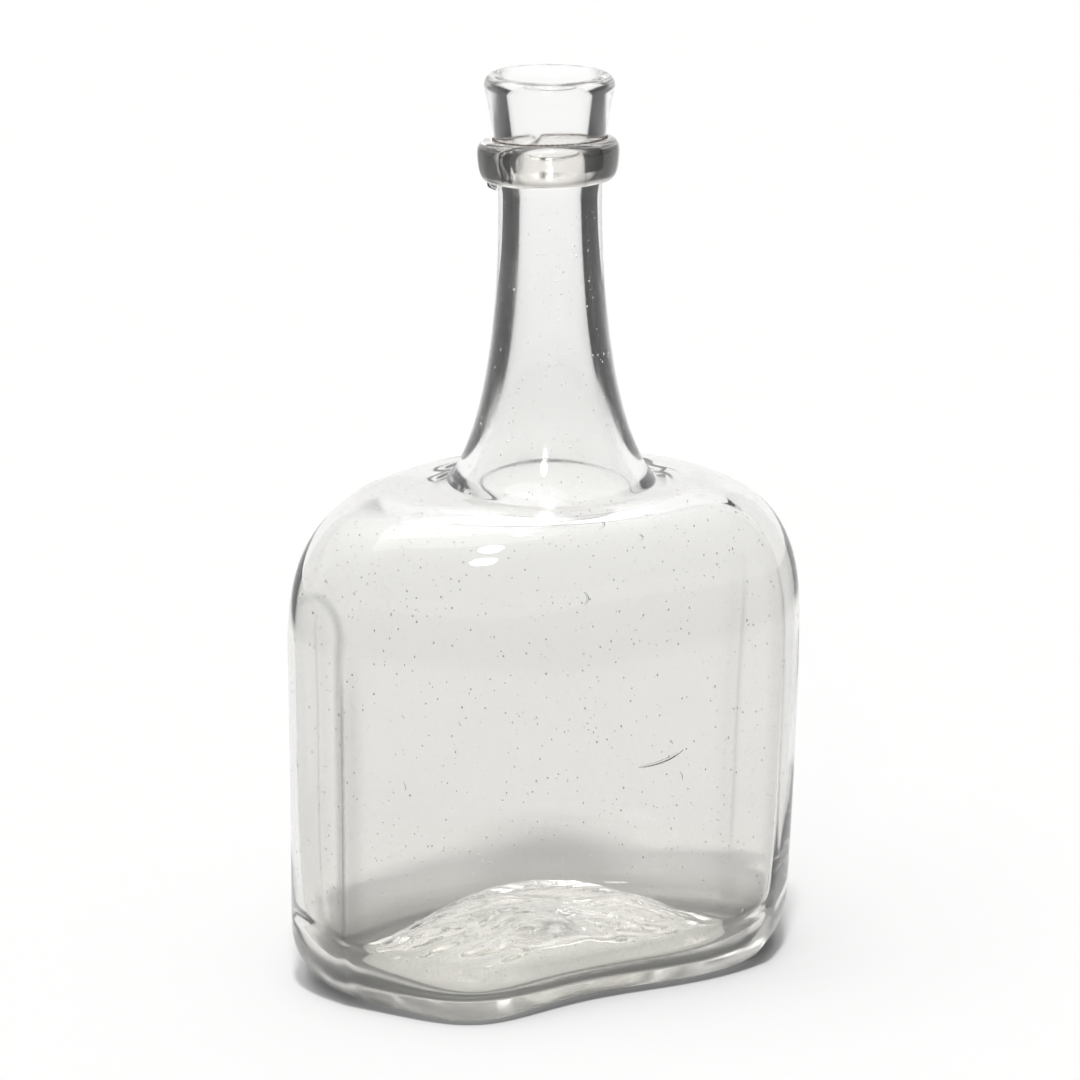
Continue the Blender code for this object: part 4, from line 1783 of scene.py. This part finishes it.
@dataclass(frozen=True)
class Sun:
    """A far lamp that points at the bottle's foot."""

    name: str
    place: Triple
    strength: float
    spread: float

    def make(self) -> Piece:
        """Make the lamp.

        Returns:
            The lamp.
        """
        light = bpy.data.lights.new(self.name, "SUN")
        light.energy = self.strength
        light.angle = self.spread
        lamp = placed(self.name, light)
        lamp.location = self.place
        lamp.rotation_euler = (-Vector(self.place)).to_track_quat("-Z", "Y").to_euler()
        return lamp


@dataclass
class Studio:
    """The plain pale floor, the lamps and the dim room round them."""

    floor_size: float = 12.0
    floor_height: float = -0.0001
    suns: tuple[Sun, ...] = (
        Sun("overhead", (-0.10, -0.34, 1.0), 1.75, radians(6)),
        Sun("side", (-0.42, -0.25, 1.4), 1.0, radians(54)),
        Sun("key", (-0.42, -0.85, 0.50), 0.22, radians(8)),
    )
    room_strength: float = 3.0
    backdrop: float = 0.34
    backdrop_rise: float = 0.25
    fill: float = 0.23
    bounces: int = 24
    glossy_bounces: int = 12
    room: tuple[Pair, ...] = (
        (0.0, 0.24), (0.26, 0.24), (0.50, 0.30), (0.72, 0.50), (0.82, 0.66), (0.92, 0.60), (1.0, 0.34)
    )

    def floor(self) -> Piece:
        """Make the floor.

        Returns:
            The floor.
        """
        reach = self.floor_size / 2
        corners = np.array([(-reach, -reach, 0), (reach, -reach, 0), (reach, reach, 0), (-reach, reach, 0)])
        corners[:, 2] = self.floor_height
        floor = plain_mesh("floor", corners, [(0, 1, 2, 3)], smooth=False)
        floor.data.materials.append(FloorFinish().make())
        return floor

    def light_room(self) -> None:
        """Give the room its own light, which is dim towards the horizon and pale overhead."""
        world = bpy.data.worlds.new("room")
        bpy.context.scene.world = world
        world.use_nodes = True
        world.node_tree.nodes.clear()
        nodes = Nodes(world.node_tree)
        height = nodes.upright(nodes.add("ShaderNodeTexCoord", "Generated"))
        level = nodes.ramp(height, tuple((place, (share, share, share)) for place, share in self.room))
        behind = nodes.span(height.node.outputs[1], (0.0, self.backdrop_rise), (0.0, self.backdrop))
        level = nodes.times(nodes.math("MAXIMUM", level, behind), self.room_strength)
        diffuse = nodes.add("ShaderNodeLightPath", "Is Diffuse Ray")
        light = nodes.add("ShaderNodeMix", 0, data_type="FLOAT", in_0=diffuse, in_2=level, in_3=self.fill)
        room = nodes.add("ShaderNodeBackground", color=light, strength=1.0)
        nodes.add("ShaderNodeOutputWorld", surface=room)

    def make(self) -> None:
        """Make the floor, the lamps and the room's own light."""
        self.floor()
        for sun in self.suns:
            sun.make()
        self.light_room()
        scene = bpy.context.scene
        scene.view_settings.view_transform = "Standard"
        scene.cycles.max_bounces = self.bounces
        scene.cycles.transmission_bounces = self.bounces
        scene.cycles.transparent_max_bounces = self.bounces
        scene.cycles.glossy_bounces = self.glossy_bounces
        scene.cycles.caustics_reflective = False
        scene.cycles.caustics_refractive = False


def main() -> None:
    """Build every piece of the bottle, then the studio round it."""
    logging.basicConfig(level=logging.INFO, format="%(name)s %(message)s")
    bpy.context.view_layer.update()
    # The clear glass: its tint carries painted shade by height, and painted shade darkens it at places of
    # rubbing and along the ridge and panel lines.
    worn = {"wear_loss": 0.75, "wear_dulling": 0.35, "panel": PanelShadeLine()}
    clear = GlassFinish("blown_glass", film=FILM_AND_SHADE, **worn).make()
    # The inside, whose tint carries painted shade by height, with painted highlights over its floor.
    dull = {"polish": 0.08, "dullness": 0.22, "streaks": 0.12, "dull_above": 0.12}
    dulled = GlassFinish("dulled_glass", film=FILM_AND_SHADE, bloom=PaintedHighlights(0.8), **dull).make()
    # Covered faces bend no light, so the fused pieces look like one.
    fused = GlassFinish("fused_glass", index=1.0, wave_depth=0.0, dullness=0.0, edge_loss=0.0).make()
    # Painted shade darkens the trail's sides where they are seen edge-on.
    shaded_sides = {"edge_loss": 0.99, "edge_power": 0.8, "edge_span": (0.14, 0.34), "sides_only": True}
    trail = GlassFinish("wound_glass", SMOKY, polish=0.09, dullness=0.16, wave_depth=0.00008, **shaded_sides).make()
    rough = {"polish": 0.15, "dullness": 0.4, "wave_scale": 300.0, "wave_depth": 0.0003}
    broken = GlassFinish("broken_glass", **rough).make()
    air = GlassFinish("seed_air", index=1 / 1.5, wave_depth=0.0, dullness=0.0).make()

    vessel = Vessel()
    ring = NeckRing(vessel.neck)
    shell = vessel.build()
    vessel.finish(shell, ring.covers, (clear, fused, dulled))
    dress(shell, ("blown_vessel",))
    dress(ring.build(trail, fused), ("neck_ring",))
    disc = PontilScar().build()
    disc.data.materials.append(broken)
    dress(disc, ("pontil_scar",))
    dress(Seeds().build(vessel.middle_wall, air))
    view = View()
    dress(Blisters().build(shell, view, air))
    dress(SeamDirt().build(ring.seam(), DirtFinish().make()))

    view.make()
    Studio().make()


if __name__ == "__main__":
    main()
